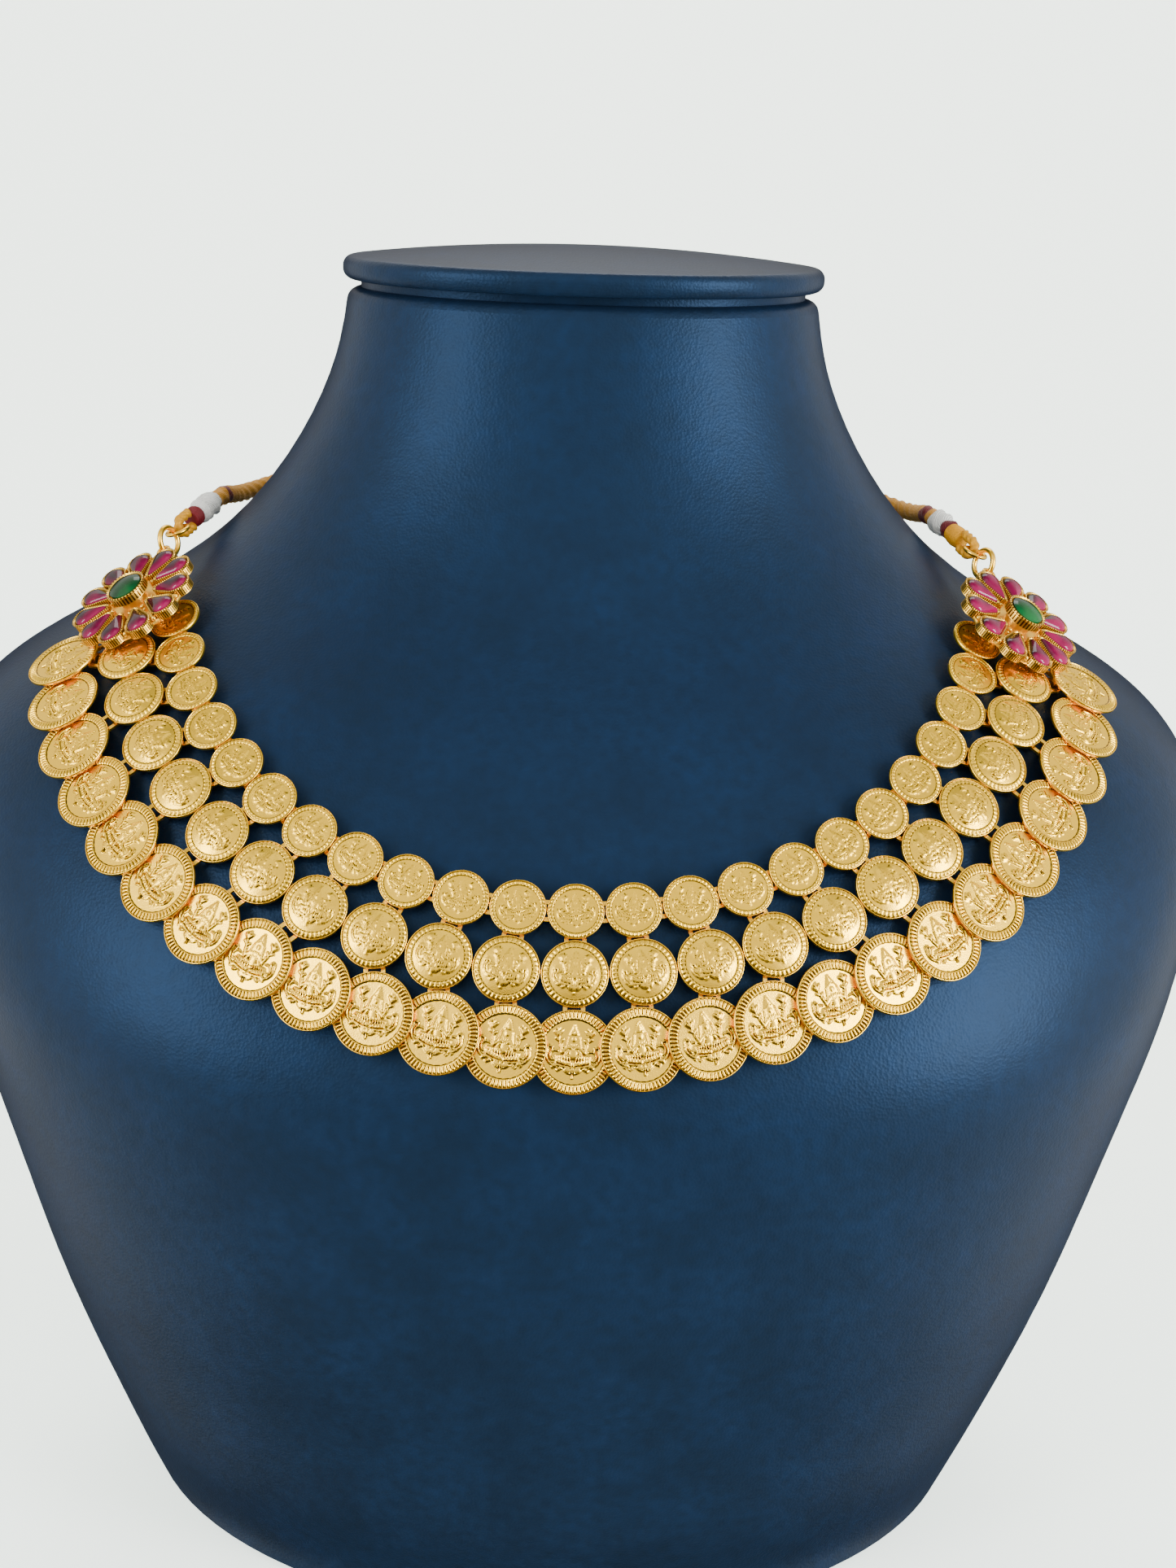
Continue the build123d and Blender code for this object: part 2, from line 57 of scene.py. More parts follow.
# Table and studio: a pale paper sweep, lit by a large softbox on each side, one overhead and one behind. The
# room round them is bright above, dim below and has a window on each side. The camera sees a pale backdrop.
def linear(code):
    """An sRGB hex colour as linear red, green and blue with full alpha."""
    parts = [int(code[start:start + 2], 16) / 255 for start in (1, 3, 5)]
    return [part / 12.92 if part <= 0.04045 else ((part + 0.055) / 1.055) ** 2.4 for part in parts] + [1]


def new_material(name):
    """An empty node material with its principled shader. Returns the material and the shader."""
    material = bpy.data.materials.new(name)
    material.use_nodes = True
    return material, material.node_tree.nodes["Principled BSDF"]


def result_of(node):
    """The first result that a node gives with its settings."""
    return next(output for output in node.outputs if output.enabled)


def add_node(owner, kind, settings=None, inputs=None, to=None):
    """Adds one shader node with its settings. An input is a value, or a socket or node that it links from."""
    tree = owner.node_tree
    node = tree.nodes.new(f"ShaderNode{kind}")
    for name, value in (settings or {}).items():
        setattr(node, name, value)
    for socket, value in (inputs or {}).items():
        if isinstance(value, bpy.types.Node):
            value = result_of(value)
        if isinstance(value, bpy.types.NodeSocket):
            tree.links.new(value, node.inputs[socket])
        else:
            node.inputs[socket].default_value = value
    if to is not None:
        tree.links.new(result_of(node), to)
    return node


def set_inputs(shader, values):
    for socket, value in values.items():
        shader.inputs[socket].default_value = value


SWEEP_WIDTH = 3.0
SWEEP_BACK = 1.1
SWEEP_BEND = 0.5
paper, paper_shader = new_material("matt background paper")
set_inputs(paper_shader, {"Base Color": linear("#F1F4F1"), "Roughness": 0.9, "Specular IOR Level": 0.2,
                          "Emission Color": linear("#E2F2E8"), "Emission Strength": 1.75})
bpy.ops.object.select_all(action="DESELECT")
bpy.ops.mesh.primitive_plane_add(size=SWEEP_WIDTH, location=(0, 0, 0))
sweep = bpy.context.object
sweep.name = "paper_sweep"
bpy.ops.object.mode_set(mode="EDIT")
bpy.ops.mesh.select_all(action="DESELECT")
bpy.ops.object.mode_set(mode="OBJECT")
for edge in sweep.data.edges:
    edge.select = all(sweep.data.vertices[index].co.y > 0 for index in edge.vertices)
bpy.ops.object.mode_set(mode="EDIT")
bpy.ops.mesh.select_mode(type="EDGE")
bpy.ops.transform.translate(value=(0, SWEEP_BACK - SWEEP_WIDTH / 2, 0))
bpy.ops.mesh.extrude_edges_move(TRANSFORM_OT_translate={"value": (0, 0, SWEEP_WIDTH / 2)})
bpy.ops.object.mode_set(mode="OBJECT")
bend = sweep.modifiers.new("Bevel", "BEVEL")
bend.width = SWEEP_BEND
bend.segments = 16
bpy.ops.object.modifier_apply(modifier=bend.name)
bpy.ops.object.shade_smooth()
sweep.data.materials.append(paper)
sweep.visible_glossy = False

# columns: height of the direction, from -1 straight down to 1 straight up, and colour of the room there
ROOM_TONES = [(-1.0, "#120C06"), (0.0, "#2A1C10"), (0.18, "#54422E"), (0.36, "#E6E2D8"), (0.5, "#F4F3EE"),
              (0.78, "#EFEADC"), (0.92, "#8E908E"), (1.0, "#74797C")]
WINDOW_TONE = "#F0EEE6"
BACKDROP_TONE = "#FAFCFA"
ROOM_STRENGTH = 1.55
# how far sideways and how far up a direction points where a window begins and where it is full
WINDOW_SIDE = (0.5, 0.85)
WINDOW_TOP = (0.65, 0.3)
world = bpy.data.worlds.new("studio")
world.use_nodes = True
direction = add_node(world, "TexCoord")
parts = add_node(world, "SeparateXYZ", {}, {0: direction.outputs["Generated"]})
rise = add_node(world, "MapRange", {}, {"Value": parts.outputs["Z"], "From Min": -1.0})
room = add_node(world, "ValToRGB", {}, {"Fac": rise})
while len(room.color_ramp.elements) < len(ROOM_TONES):
    room.color_ramp.elements.new(1.0)
for stop, (height, colour) in zip(room.color_ramp.elements, ROOM_TONES):
    stop.position = (height + 1) / 2
    stop.color = linear(colour)
sideways = add_node(world, "Math", {"operation": "ABSOLUTE"}, {0: parts.outputs["X"]})
window = add_node(world, "MapRange", {"interpolation_type": "SMOOTHSTEP"},
                  {"Value": sideways, "From Min": WINDOW_SIDE[0], "From Max": WINDOW_SIDE[1]})
below_ceiling = add_node(world, "MapRange", {"interpolation_type": "SMOOTHSTEP"},
                         {"Value": parts.outputs["Z"], "From Min": WINDOW_TOP[0], "From Max": WINDOW_TOP[1]})
window_share = add_node(world, "Math", {"operation": "MULTIPLY"},
                        {0: window, 1: below_ceiling})
lit_room = add_node(world, "Mix", {"data_type": "RGBA"},
                    {"Factor": window_share, 6: room, 7: linear(WINDOW_TONE)})
seen = add_node(world, "LightPath")
add_node(world, "Mix", {"data_type": "RGBA"},
         {"Factor": seen.outputs["Is Camera Ray"], 6: lit_room, 7: linear(BACKDROP_TONE)},
         world.node_tree.nodes["Background"].inputs["Color"])
world.node_tree.nodes["Background"].inputs["Strength"].default_value = ROOM_STRENGTH
bpy.context.scene.world = world

# columns: name, place, aimed at, width, height, watts
SOFTBOXES = [
    ("left_key", (-0.95, -0.75, 0.65), (0, -0.03, 0.15), 0.35, 0.9, 14),
    ("right_key", (0.95, -0.70, 0.50), (0, -0.03, 0.15), 0.35, 0.8, 21),
    ("overhead", (0.0, -0.35, 1.3), (0, -0.03, 0.15), 0.7, 0.5, 1.5),
    ("back_light", (0.0, 0.7, 1.1), (0, 0.1, 0.2), 0.8, 0.4, 4),
]
for name, place, aim, width, height, watts in SOFTBOXES:
    bpy.ops.object.light_add(type="AREA", location=place)
    softbox = bpy.context.object
    softbox.name = name
    softbox.rotation_euler = (Vector(aim) - Vector(place)).to_track_quat("-Z", "Y").to_euler()
    softbox.data.shape = "RECTANGLE"
    softbox.data.size = width
    softbox.data.size_y = height
    softbox.data.energy = watts


# Neck cord: a limp three-ply silk and metal-thread cord, bound in coloured windings. It leaves the binding at
# one end, passes round the back of the neck just off the bust, and goes into the other binding.
CORD_DIAMETER = 0.0046
CORD_LENGTH = 0.2296
HALF_ROUTE = [(0.0830, 0.0271, 0.2153), (0.0793, 0.0361, 0.2174), (0.0783, 0.0505, 0.2134),
              (0.0685, 0.0660, 0.2140), (0.0485, 0.0780, 0.2175), (0.0250, 0.0825, 0.2210)]
PLY_COUNT = 3
PLY_LAY = 0.0095
PLY_DEPTH = 0.09
# the cord is pinched to this share between two windings, over this length
PINCH = 0.80
WINDING_SHOULDER = 0.0012
YELLOW = "#CF8E0A"
MAROON = "#6E0C18"
SILVER = "#E2E2DE"
# columns: distance from the left end, in metres, where each winding starts, its colour, and how full it is
WINDINGS = [
    (0.0000, SILVER, 1.24), (0.0056, YELLOW, 0.86), (0.0100, MAROON, 0.96), (0.0132, YELLOW, 0.90),
    (0.0400, MAROON, 0.96), (0.0440, YELLOW, 0.90), (0.0750, MAROON, 0.96), (0.0790, YELLOW, 0.90),
    (0.1100, MAROON, 0.96), (0.1140, YELLOW, 0.90), (0.1480, MAROON, 0.96), (0.1520, YELLOW, 0.90),
    (0.1850, MAROON, 0.96), (0.1890, YELLOW, 0.90), (0.2150, MAROON, 0.96), (0.2182, YELLOW, 0.86),
    (0.2215, SILVER, 1.24), (0.2264, "#5E0E18", 1.05),
]


def new_object(name, data):
    """A new object in the scene, of a mesh or curve."""
    piece = bpy.data.objects.new(name, data)
    bpy.context.scene.collection.objects.link(piece)
    return piece


route = [(-x, y, z) for x, y, z in HALF_ROUTE] + HALF_ROUTE[::-1]
route_curve = bpy.data.curves.new("cord_route", "CURVE")
route_curve.dimensions = "3D"
route_curve.resolution_u = 40
spline = route_curve.splines.new("NURBS")
spline.points.add(len(route) - 1)
for point, place in zip(spline.points, route):
    point.co = (*place, 1)
spline.order_u = 3
spline.use_endpoint_u = True
route_object = new_object("cord_route", route_curve)
bpy.context.view_layer.update()
route_line = bpy.data.meshes.new_from_object(route_object)
line_points = np.array([vertex.co for vertex in route_line.vertices])
bpy.data.objects.remove(route_object)

line_steps = np.linalg.norm(np.diff(line_points, axis=0), axis=1)
line_run = np.concatenate([[0], np.cumsum(line_steps)])
RING_SPACING = 0.00045
ring_count = int(line_run[-1] / RING_SPACING)
SIDES = 18
turn = np.linspace(0, 2 * math.pi, SIDES, endpoint=False)


def pick(piece):
    """Makes one object the active one and the only one selected."""
    bpy.ops.object.select_all(action="DESELECT")
    bpy.context.view_layer.objects.active = piece
    piece.select_set(True)


def edit_all():
    """Enters edit mode with everything selected."""
    bpy.ops.object.mode_set(mode="EDIT")
    bpy.ops.mesh.select_all(action="SELECT")


def face_outwards():
    """Turns all faces of the active mesh outwards, and leaves edit mode."""
    edit_all()
    bpy.ops.mesh.normals_make_consistent(inside=False)
    bpy.ops.object.mode_set(mode="OBJECT")


def keep_on_points(piece, name, values):
    """Keeps one number for each of a piece's points, for its material to read."""
    attribute = piece.data.attributes.new(name, "FLOAT", "POINT")
    attribute.data.foreach_set("value", values.reshape(-1).astype(np.float32))


def thread_tube(name, centres, radius, side):
    """A closed tube round a line of points, with its radius for every ring and side of the tube."""
    tangents = np.gradient(centres, axis=0)
    tangents /= np.linalg.norm(tangents, axis=1)[:, None]
    sideways = np.cross(tangents, side)
    sideways /= np.linalg.norm(sideways, axis=1)[:, None]
    upwards = np.cross(sideways, tangents)
    skin = centres[:, None, :] + radius[:, :, None] * (np.cos(turn)[None, :, None] * sideways[:, None, :]
                                                       + np.sin(turn)[None, :, None] * upwards[:, None, :])
    last = len(centres) - 1
    faces = [(ring * SIDES + step, ring * SIDES + (step + 1) % SIDES,
              (ring + 1) * SIDES + (step + 1) % SIDES, (ring + 1) * SIDES + step)
             for ring in range(last) for step in range(SIDES)]
    faces += [tuple(range(SIDES))[::-1], tuple(last * SIDES + step for step in range(SIDES))]
    mesh = bpy.data.meshes.new(name)
    mesh.from_pydata(skin.reshape(-1, 3).tolist(), [], faces)
    tube = new_object(name, mesh)
    pick(tube)
    face_outwards()
    bpy.ops.object.shade_smooth()
    return tube


along = np.linspace(0, line_run[-1], ring_count)
centres = np.stack([np.interp(along, line_run, line_points[:, axis]) for axis in range(3)], axis=1)
lay_angle = turn[None, :] + along[:, None] * 2 * math.pi / PLY_LAY
lobes = 1 - PLY_DEPTH + PLY_DEPTH * np.cos(PLY_COUNT * lay_angle)
winding_starts = np.array([start for start, _, _ in WINDINGS])
winding_ends = np.append(winding_starts[1:], line_run[-1])
fullness = np.array([full for _, _, full in WINDINGS])
winding_at = np.clip(np.searchsorted(winding_starts, along, side="right") - 1, 0, len(WINDINGS) - 1)
to_edge = np.minimum(along - winding_starts[winding_at], winding_ends[winding_at] - along)
shoulder = np.sqrt(1 - (1 - np.clip(to_edge / WINDING_SHOULDER, 0, 1)) ** 2)
pinched = PINCH + (fullness[winding_at] - PINCH) * shoulder
cord_radius = CORD_DIAMETER / 2 * lobes * pinched[:, None]
neck_cord = thread_tube("neck_cord_threads", centres, cord_radius, side=(0, 0, 1))
keep_on_points(neck_cord, "thread_run", np.repeat(along, SIDES))
keep_on_points(neck_cord, "thread_turn", lay_angle)

# Twisted thread, silk with metal-covered zari: strands wound side by side, dull with a faint glint and sheen.
# A turn of the cord has 21 strands, and the fibres are drawn coarse, about 0.56 mm, so that they show.
STRANDS = 21.0
FIBRE_SIZE = 0.0005556
cord_thread, cord_shader = new_material("twisted silk and zari thread")
set_inputs(cord_shader, {"Roughness": 0.5, "Metallic": 0.15, "Specular IOR Level": 0.3,
                         "Sheen Weight": 0.1, "Sheen Roughness": 0.4})
run = add_node(cord_thread, "Attribute", {"attribute_name": "thread_run"})
place_on_run = add_node(cord_thread, "Math", {"operation": "DIVIDE"},
                        {0: run.outputs["Fac"], 1: CORD_LENGTH})
windings = add_node(cord_thread, "ValToRGB", {}, {"Fac": place_on_run})
windings.color_ramp.interpolation = "CONSTANT"
stops = windings.color_ramp.elements
while len(stops) < len(WINDINGS):
    stops.new(1.0)
for stop, (start, colour, _) in zip(stops, WINDINGS):
    stop.position = start / CORD_LENGTH
    stop.color = linear(colour)
strand_turn = add_node(cord_thread, "Attribute", {"attribute_name": "thread_turn"})
strand_phase = add_node(cord_thread, "Math", {"operation": "MULTIPLY"},
                        {0: strand_turn.outputs["Fac"], 1: STRANDS})
strand_wave = add_node(cord_thread, "Math", {"operation": "SINE"}, {0: strand_phase})
fibre_place = add_node(cord_thread, "TexCoord")
fibre = add_node(cord_thread, "TexNoise", {},
                 {"Vector": fibre_place.outputs["Object"], "Scale": 1 / FIBRE_SIZE})
strand_height = add_node(cord_thread, "Math", {"operation": "ADD"},
                         {0: strand_wave, 1: fibre})
# painted shade in the grooves between strands and painted highlight on their crowns, scaling the winding
# colours
shade = add_node(cord_thread, "MapRange", {},
                 {"Value": strand_height, "From Min": -1.0, "From Max": 2.0,
                  "To Min": 0.55, "To Max": 1.1})
add_node(cord_thread, "VectorMath", {"operation": "SCALE"},
         {0: windings, "Scale": shade}, cord_shader.inputs["Base Color"])
add_node(cord_thread, "Bump", {},
         {"Height": strand_height, "Strength": 0.6, "Distance": 0.0001},
         cord_shader.inputs["Normal"])
neck_cord.data.materials.append(cord_thread)
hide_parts("neck_cord")
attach(neck_cord, "root")


# Cord ends: a two-ply loop of zari thread round each cord ring, bound to the cord by fine winding. The left
# binding is a short maroon knot from which silver-white silk flares, the right one a sleeve of yellow zari.
LOOP_CENTRE = np.array((0.08594, 0.01983, 0.21362))
CHAIN_LINE = np.array((-0.370, 0.905, 0.210))
CHAIN_UP = np.array((0.3515, -0.0729, 0.9333))
RING_SIDE = np.array((-0.854, -0.434, 0.288))
LOOP_BEND = 0.0016
LOOP_LEG = 0.0034
LOOP_THREAD = 0.00115
LOOP_PLIES = 2
LOOP_LAY = 0.0034
LOOP_PLY_DEPTH = 0.14
LOOP_RINGS = 64
WRAP_FACE = np.array((0.08475, 0.02273, 0.21429))
WRAP_LENGTH = 0.0048
WRAP_RINGS = 80
WINDING_PITCH = 0.00042
WINDING_DEPTH = 0.045
# columns: distance along the binding and its radius, in metres
KNOT = [(0.0, 0.0006), (0.0001, 0.0018), (0.0010, 0.0023), (0.0024, 0.0023), (0.0031, 0.0019),
        (0.0036, 0.0024), (0.0048, 0.0028)]
SLEEVE = [(0.0, 0.0006), (0.0001, 0.0017), (0.0008, 0.0022), (0.0024, 0.0024), (0.0042, 0.0022),
          (0.0048, 0.0020)]
KNOT_END = 0.0031
# the clefts between strands are about 0.35 mm apart, painted darker as painted shade, drawn coarse so that
# they show
STRAND_SPACING = 0.00035
CLEFT_SHADE = 0.55


def thread_material(name, colour, metallic=0.0):
    """Wound silk or zari in one colour: dull and fibrous, with painted shade between its strands, and a faint
    sheen.
    """
    material, shader = new_material(name)
    set_inputs(shader, {"Roughness": 0.55, "Metallic": metallic, "Specular IOR Level": 0.3,
                        "Sheen Weight": 0.08, "Sheen Roughness": 0.4})
    place = add_node(material, "TexCoord")
    grain = add_node(material, "TexNoise", {},
                     {"Vector": place.outputs["Object"], "Scale": 1 / STRAND_SPACING, "Detail": 2.0})
    # painted shade in the clefts: a darker copy of the colour, mixed in by the grain
    cleft = [part * CLEFT_SHADE for part in linear(colour)[:3]] + [1]
    add_node(material, "Mix", {"data_type": "RGBA"},
             {"Factor": grain, 6: linear(colour), 7: cleft}, shader.inputs["Base Color"])
    add_node(material, "Bump", {},
             {"Height": grain, "Strength": 0.5, "Distance": 0.0002}, shader.inputs["Normal"])
    return material


zari = thread_material("yellow zari winding", "#D8990E", 0.35)
maroon_silk = thread_material("maroon silk winding", MAROON)
silver_silk = thread_material("silver-white silk winding", SILVER)
bend_steps = np.linspace(0.5 * math.pi, 1.5 * math.pi, 25)
legs = np.linspace(LOOP_LEG, 0.0001, 14)
u_line = ([(leg, LOOP_BEND) for leg in legs]
          + [(LOOP_BEND * math.cos(bend), LOOP_BEND * math.sin(bend)) for bend in bend_steps]
          + [(leg, -LOOP_BEND) for leg in legs[::-1]])
cord_end_pieces = []
for side, mirror, binding in (("left", -1, KNOT), ("right", 1, SLEEVE)):
    flip = np.array((mirror, 1, 1))
    loop_points = np.array([LOOP_CENTRE + forward * CHAIN_LINE + upward * CHAIN_UP
                            for forward, upward in u_line])
    run_on = np.concatenate([[0], np.cumsum(np.linalg.norm(np.diff(loop_points, axis=0), axis=1))])
    steps = np.linspace(0, run_on[-1], LOOP_RINGS)
    loop_line = np.stack([np.interp(steps, run_on, loop_points[:, axis]) for axis in range(3)], axis=1)
    lay = turn[None, :] + steps[:, None] * 2 * math.pi / LOOP_LAY
    plies = 1 - LOOP_PLY_DEPTH + LOOP_PLY_DEPTH * np.cos(LOOP_PLIES * lay)
    loop = thread_tube(f"{side}_zari_loop", loop_line * flip, LOOP_THREAD * plies, RING_SIDE * flip)
    loop.data.materials.append(zari)
    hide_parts(f"{side}_cord_loop")
    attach(loop, "root")

    steps = np.linspace(0, WRAP_LENGTH, WRAP_RINGS)
    wrap_line = WRAP_FACE + steps[:, None] * CHAIN_LINE
    reach = np.interp(steps, [place for place, _ in binding], [size for _, size in binding])
    screw = (steps[:, None] + turn[None, :] * WINDING_PITCH / (2 * math.pi)) * 2 * math.pi / WINDING_PITCH
    wound = 1 - WINDING_DEPTH * (1 - np.cos(screw))
    wrap = thread_tube(f"{side}_thread_binding", wrap_line * flip, reach[:, None] * wound, RING_SIDE * flip)
    for thread in (maroon_silk, silver_silk) if side == "left" else (zari,):
        wrap.data.materials.append(thread)
    if side == "left":
        for polygon in wrap.data.polygons:
            from_face = (np.array(polygon.center) * flip - WRAP_FACE) @ CHAIN_LINE
            polygon.material_index = int(from_face > KNOT_END)
    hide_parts(f"{side}_cord_wrap")
    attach(wrap, "root")
    cord_end_pieces += [loop, wrap]


# Neck bust: a padded display form covered in navy leatherette, a PVC-coated cloth embossed with a fine grain.
# It is semi-matt and faintly mottled, with broad soft highlights where the padding turns. The pebbles of the
# grain are 0.6 mm, its creases 2.4 mm and its mottling 17 mm across.
GRAIN_SIZE = 0.0006
CREASE_SIZE = 0.002381
MOTTLE_SIZE = 0.016667


def paint(piece, material):
    """Gives a piece one material in place of those it has."""
    piece.data.materials.clear()
    piece.data.materials.append(material)


leatherette, leatherette_shader = new_material("embossed navy leatherette")
set_inputs(leatherette_shader, {"Roughness": 0.4, "Specular IOR Level": 0.42,
                                "Specular Tint": linear("#6C96CC")})
leather_place = add_node(leatherette, "TexCoord")
pebbles = add_node(leatherette, "TexVoronoi", {"feature": "F1"},
                   {"Vector": leather_place.outputs["Object"], "Scale": 1 / GRAIN_SIZE})
creases = add_node(leatherette, "TexNoise", {},
                   {"Vector": leather_place.outputs["Object"], "Scale": 1 / CREASE_SIZE, "Detail": 6.0})
mottle = add_node(leatherette, "TexNoise", {},
                  {"Vector": leather_place.outputs["Object"], "Scale": 1 / MOTTLE_SIZE, "Detail": 4.0})
grain_height = add_node(leatherette, "Math", {"operation": "ADD"},
                        {0: pebbles, 1: creases})
add_node(leatherette, "Bump", {},
         {"Height": grain_height, "Strength": 0.22, "Distance": 0.00018},
         leatherette_shader.inputs["Normal"])
tone = add_node(leatherette, "Math", {"operation": "MULTIPLY"},
                {0: mottle, 1: creases})
leather_ramp = add_node(leatherette, "ValToRGB", {}, {"Fac": tone},
                        leatherette_shader.inputs["Base Color"])
leather_ramp.color_ramp.elements[0].position = 0.08
leather_ramp.color_ramp.elements[0].color = linear("#0D1826")
leather_ramp.color_ramp.elements[1].position = 0.5
leather_ramp.color_ramp.elements[1].color = linear("#0E1F36")
for name in ("bust_body", "bust_cap"):
    paint(nodes[name], leatherette)


# Gilt metal of the necklace: brass, struck, rolled or drawn, then gold plated and left matt. Light from the
# front comes back pale gold. The hollows are painted brown, as patina and painted shade, with patina clouds
# about 8 mm across.
CLOUD_SIZE = 0.007692
CLOUD_SHARE = 0.2
PATINA_AND_SHADE_GAIN = 5.5
PATINA_AND_SHADE_START = -0.3
GLOSS_SPREAD = (-0.06, 0.08)


def gilt_material(name, light, deep, roughness, grain_size, grain_strength):
    """Matt gold plate on brass: a fine grain, and brown patina with painted shade in the hollows where a
    piece says how deep it is.
    """
    material, shader = new_material(name)
    set_inputs(shader, {"Metallic": 1.0})
    place = add_node(material, "TexCoord")
    grain = add_node(material, "TexNoise", {},
                     {"Vector": place.outputs["Object"], "Scale": 1 / grain_size, "Detail": 3.0})
    cloud = add_node(material, "TexNoise", {},
                     {"Vector": place.outputs["Object"], "Scale": 1 / CLOUD_SIZE, "Detail": 3.0})
    hollow = add_node(material, "Attribute", {"attribute_name": "hollow"})
    # hollows are painted toward the deep colour, as brown patina and painted shade
    patina_and_shade = add_node(material, "Math", {"operation": "MULTIPLY_ADD"},
                      {0: hollow.outputs["Fac"], 1: PATINA_AND_SHADE_GAIN, 2: PATINA_AND_SHADE_START})
    dulled_and_shaded = add_node(material, "Math", {"operation": "MULTIPLY_ADD", "use_clamp": True},
                      {0: cloud, 1: CLOUD_SHARE, 2: patina_and_shade})
    add_node(material, "Mix", {"data_type": "RGBA"},
             {"Factor": dulled_and_shaded, 6: linear(light), 7: linear(deep)}, shader.inputs["Base Color"])
    add_node(material, "MapRange", {},
             {"Value": cloud,
              "To Min": roughness + GLOSS_SPREAD[0], "To Max": roughness + GLOSS_SPREAD[1]},
             shader.inputs["Roughness"])
    add_node(material, "Bump", {},
             {"Height": grain, "Strength": grain_strength, "Distance": grain_size / 4},
             shader.inputs["Normal"])
    return material


# Links: flat rings of drawn gilt wire behind the coins, closed through the strap eyes on their backs, and the
# round wire rings between flower and cord. Drawn wire is the smoothest of the gilt parts.
drawn_gilt = gilt_material("drawn gilt brass wire", light="#FFCA40", deep="#5A300A", roughness=0.28,
                           grain_size=0.0003, grain_strength=0.15)
for name in ("small_row_links", "large_row_links", "small_to_middle_links", "middle_to_large_links",
             "flower_links", "left_flower_ring", "right_flower_ring", "left_cord_ring", "right_cord_ring"):
    paint(nodes[name], drawn_gilt)


# Coins: thin brass blanks, die-struck with a seated figure on a lotus, a fluted border and a raised rim, with
# two to four strap eyes soldered on the back. Measures on a face are in coin radii, Y towards the neck.
# columns: from x, y, to x, y, half width, height. Each is struck on both sides of the middle line.
STROKES = [
    (0.00, 0.60, 0.00, 0.46, 0.030, 0.80),
    (0.13, 0.36, 0.17, 0.12, 0.020, 0.80),
    (0.00, 0.42, 0.07, 0.42, 0.022, 0.90),
    (0.00, 0.13, 0.15, 0.10, 0.060, 0.80),
    (0.00, 0.05, 0.00, -0.08, 0.100, 0.70),
    (0.15, 0.10, 0.26, 0.00, 0.045, 0.80),
    (0.26, 0.00, 0.31, 0.17, 0.035, 0.80),
    (0.31, 0.10, 0.36, 0.38, 0.020, 0.60),
    (0.36, 0.40, 0.29, 0.50, 0.034, 0.90),
    (0.37, 0.40, 0.37, 0.53, 0.036, 0.95),
    (0.38, 0.40, 0.45, 0.49, 0.034, 0.90),
    (0.34, 0.26, 0.42, 0.32, 0.028, 0.75),
    (0.33, 0.22, 0.26, 0.29, 0.026, 0.75),
    (0.13, 0.04, 0.19, -0.07, 0.038, 0.75),
    (0.19, -0.07, 0.06, -0.10, 0.034, 0.80),
    (0.08, -0.12, 0.38, -0.11, 0.050, 0.55),
    (0.42, -0.17, 0.05, -0.28, 0.050, 0.55),
    (0.06, -0.31, 0.36, -0.24, 0.020, 0.85),
    (0.02, -0.36, 0.25, -0.34, 0.026, 0.80),
    (0.25, -0.34, 0.44, -0.29, 0.030, 0.75),
    (0.27, -0.38, 0.36, -0.43, 0.030, 0.80),
    (0.40, -0.34, 0.49, -0.37, 0.026, 0.75),
    (0.00, -0.48, 0.00, -0.60, 0.024, 0.80),
]
# columns: x, y, radius, height, struck on both sides
BOSSES = [
    (0.000, 0.460, 0.032, 1.00),
    (0.000, 0.170, 0.034, 0.95),
    (0.055, 0.180, 0.026, 0.90),
    (0.105, 0.150, 0.026, 0.90),
    (0.050, 0.090, 0.030, 0.95),
    (0.000, 0.060, 0.028, 0.90),
    (0.300, 0.170, 0.040, 0.90),
    (0.370, 0.560, 0.022, 0.80),
    (0.000, -0.400, 0.045, 1.00),
    (0.155, -0.370, 0.030, 0.85),
    (0.520, 0.020, 0.030, 0.80),
]
# columns: centre x, y, radius, from degrees, to degrees, half width, height, struck on both sides
SCROLLS = [
    (0.360, -0.070, 0.270, -80, 22, 0.026, 0.85),
    (0.555, 0.070, 0.058, -20, 215, 0.024, 0.85),
    (0.430, -0.090, 0.120, -60, 120, 0.022, 0.70),
    (0.000, 0.300, 0.120, 20, 160, 0.018, 0.50),
]
# the face's middle height, half width and half height
FACE = (0.305, 0.068, 0.088)
# the veil is an arch that narrows upwards from its foot
VEIL_FOOT = 0.06
VEIL_RISE = 0.60
VEIL_HALF_WIDTH = 0.20
VEIL_TAPER = 1.8
VEIL_LEVEL = 0.55
# the folds of the skirt, each with the x of the first, the step to the next, and y
FOLD_COUNT = 6
FOLD_TOP = (0.10, 0.055, -0.09)
FOLD_HEM = (0.05, 0.070, -0.25)
FOLD_WIDTH = 0.017
# the lotus: petals fanned round a point, each from its inner to its outer reach in x and y
LOTUS_PETALS = 9
LOTUS_FAN = 17
LOTUS_HEART = -0.36
LOTUS_INNER = (0.10, 0.06)
LOTUS_OUTER = (0.20, 0.15)
LOTUS_WIDTH = 0.026
LOTUS_LEVEL = 0.85
# the border: flutes as a share of their pitch, blunt at the ends, and an arch over every two
FLUTE_LEVEL = 0.9
FLUTE_WIDTH = 0.36
FLUTE_BLUNT = 2.5
ARCH_LEVEL = 0.75
ARCH_WIDTH = 0.020


def rounded(distance, width):
    """How high a rounded stroke stands, from 1 on its middle line to 0 at its edge."""
    return np.sqrt(np.clip(1 - (distance / width) ** 2, 0, 1))


def from_segment(x, y, start, end):
    """Distance from a straight stroke between two points."""
    run_x, run_y = end[0] - start[0], end[1] - start[1]
    share = np.clip(((x - start[0]) * run_x + (y - start[1]) * run_y) / (run_x ** 2 + run_y ** 2), 0, 1)
    return np.hypot(x - start[0] - share * run_x, y - start[1] - share * run_y)


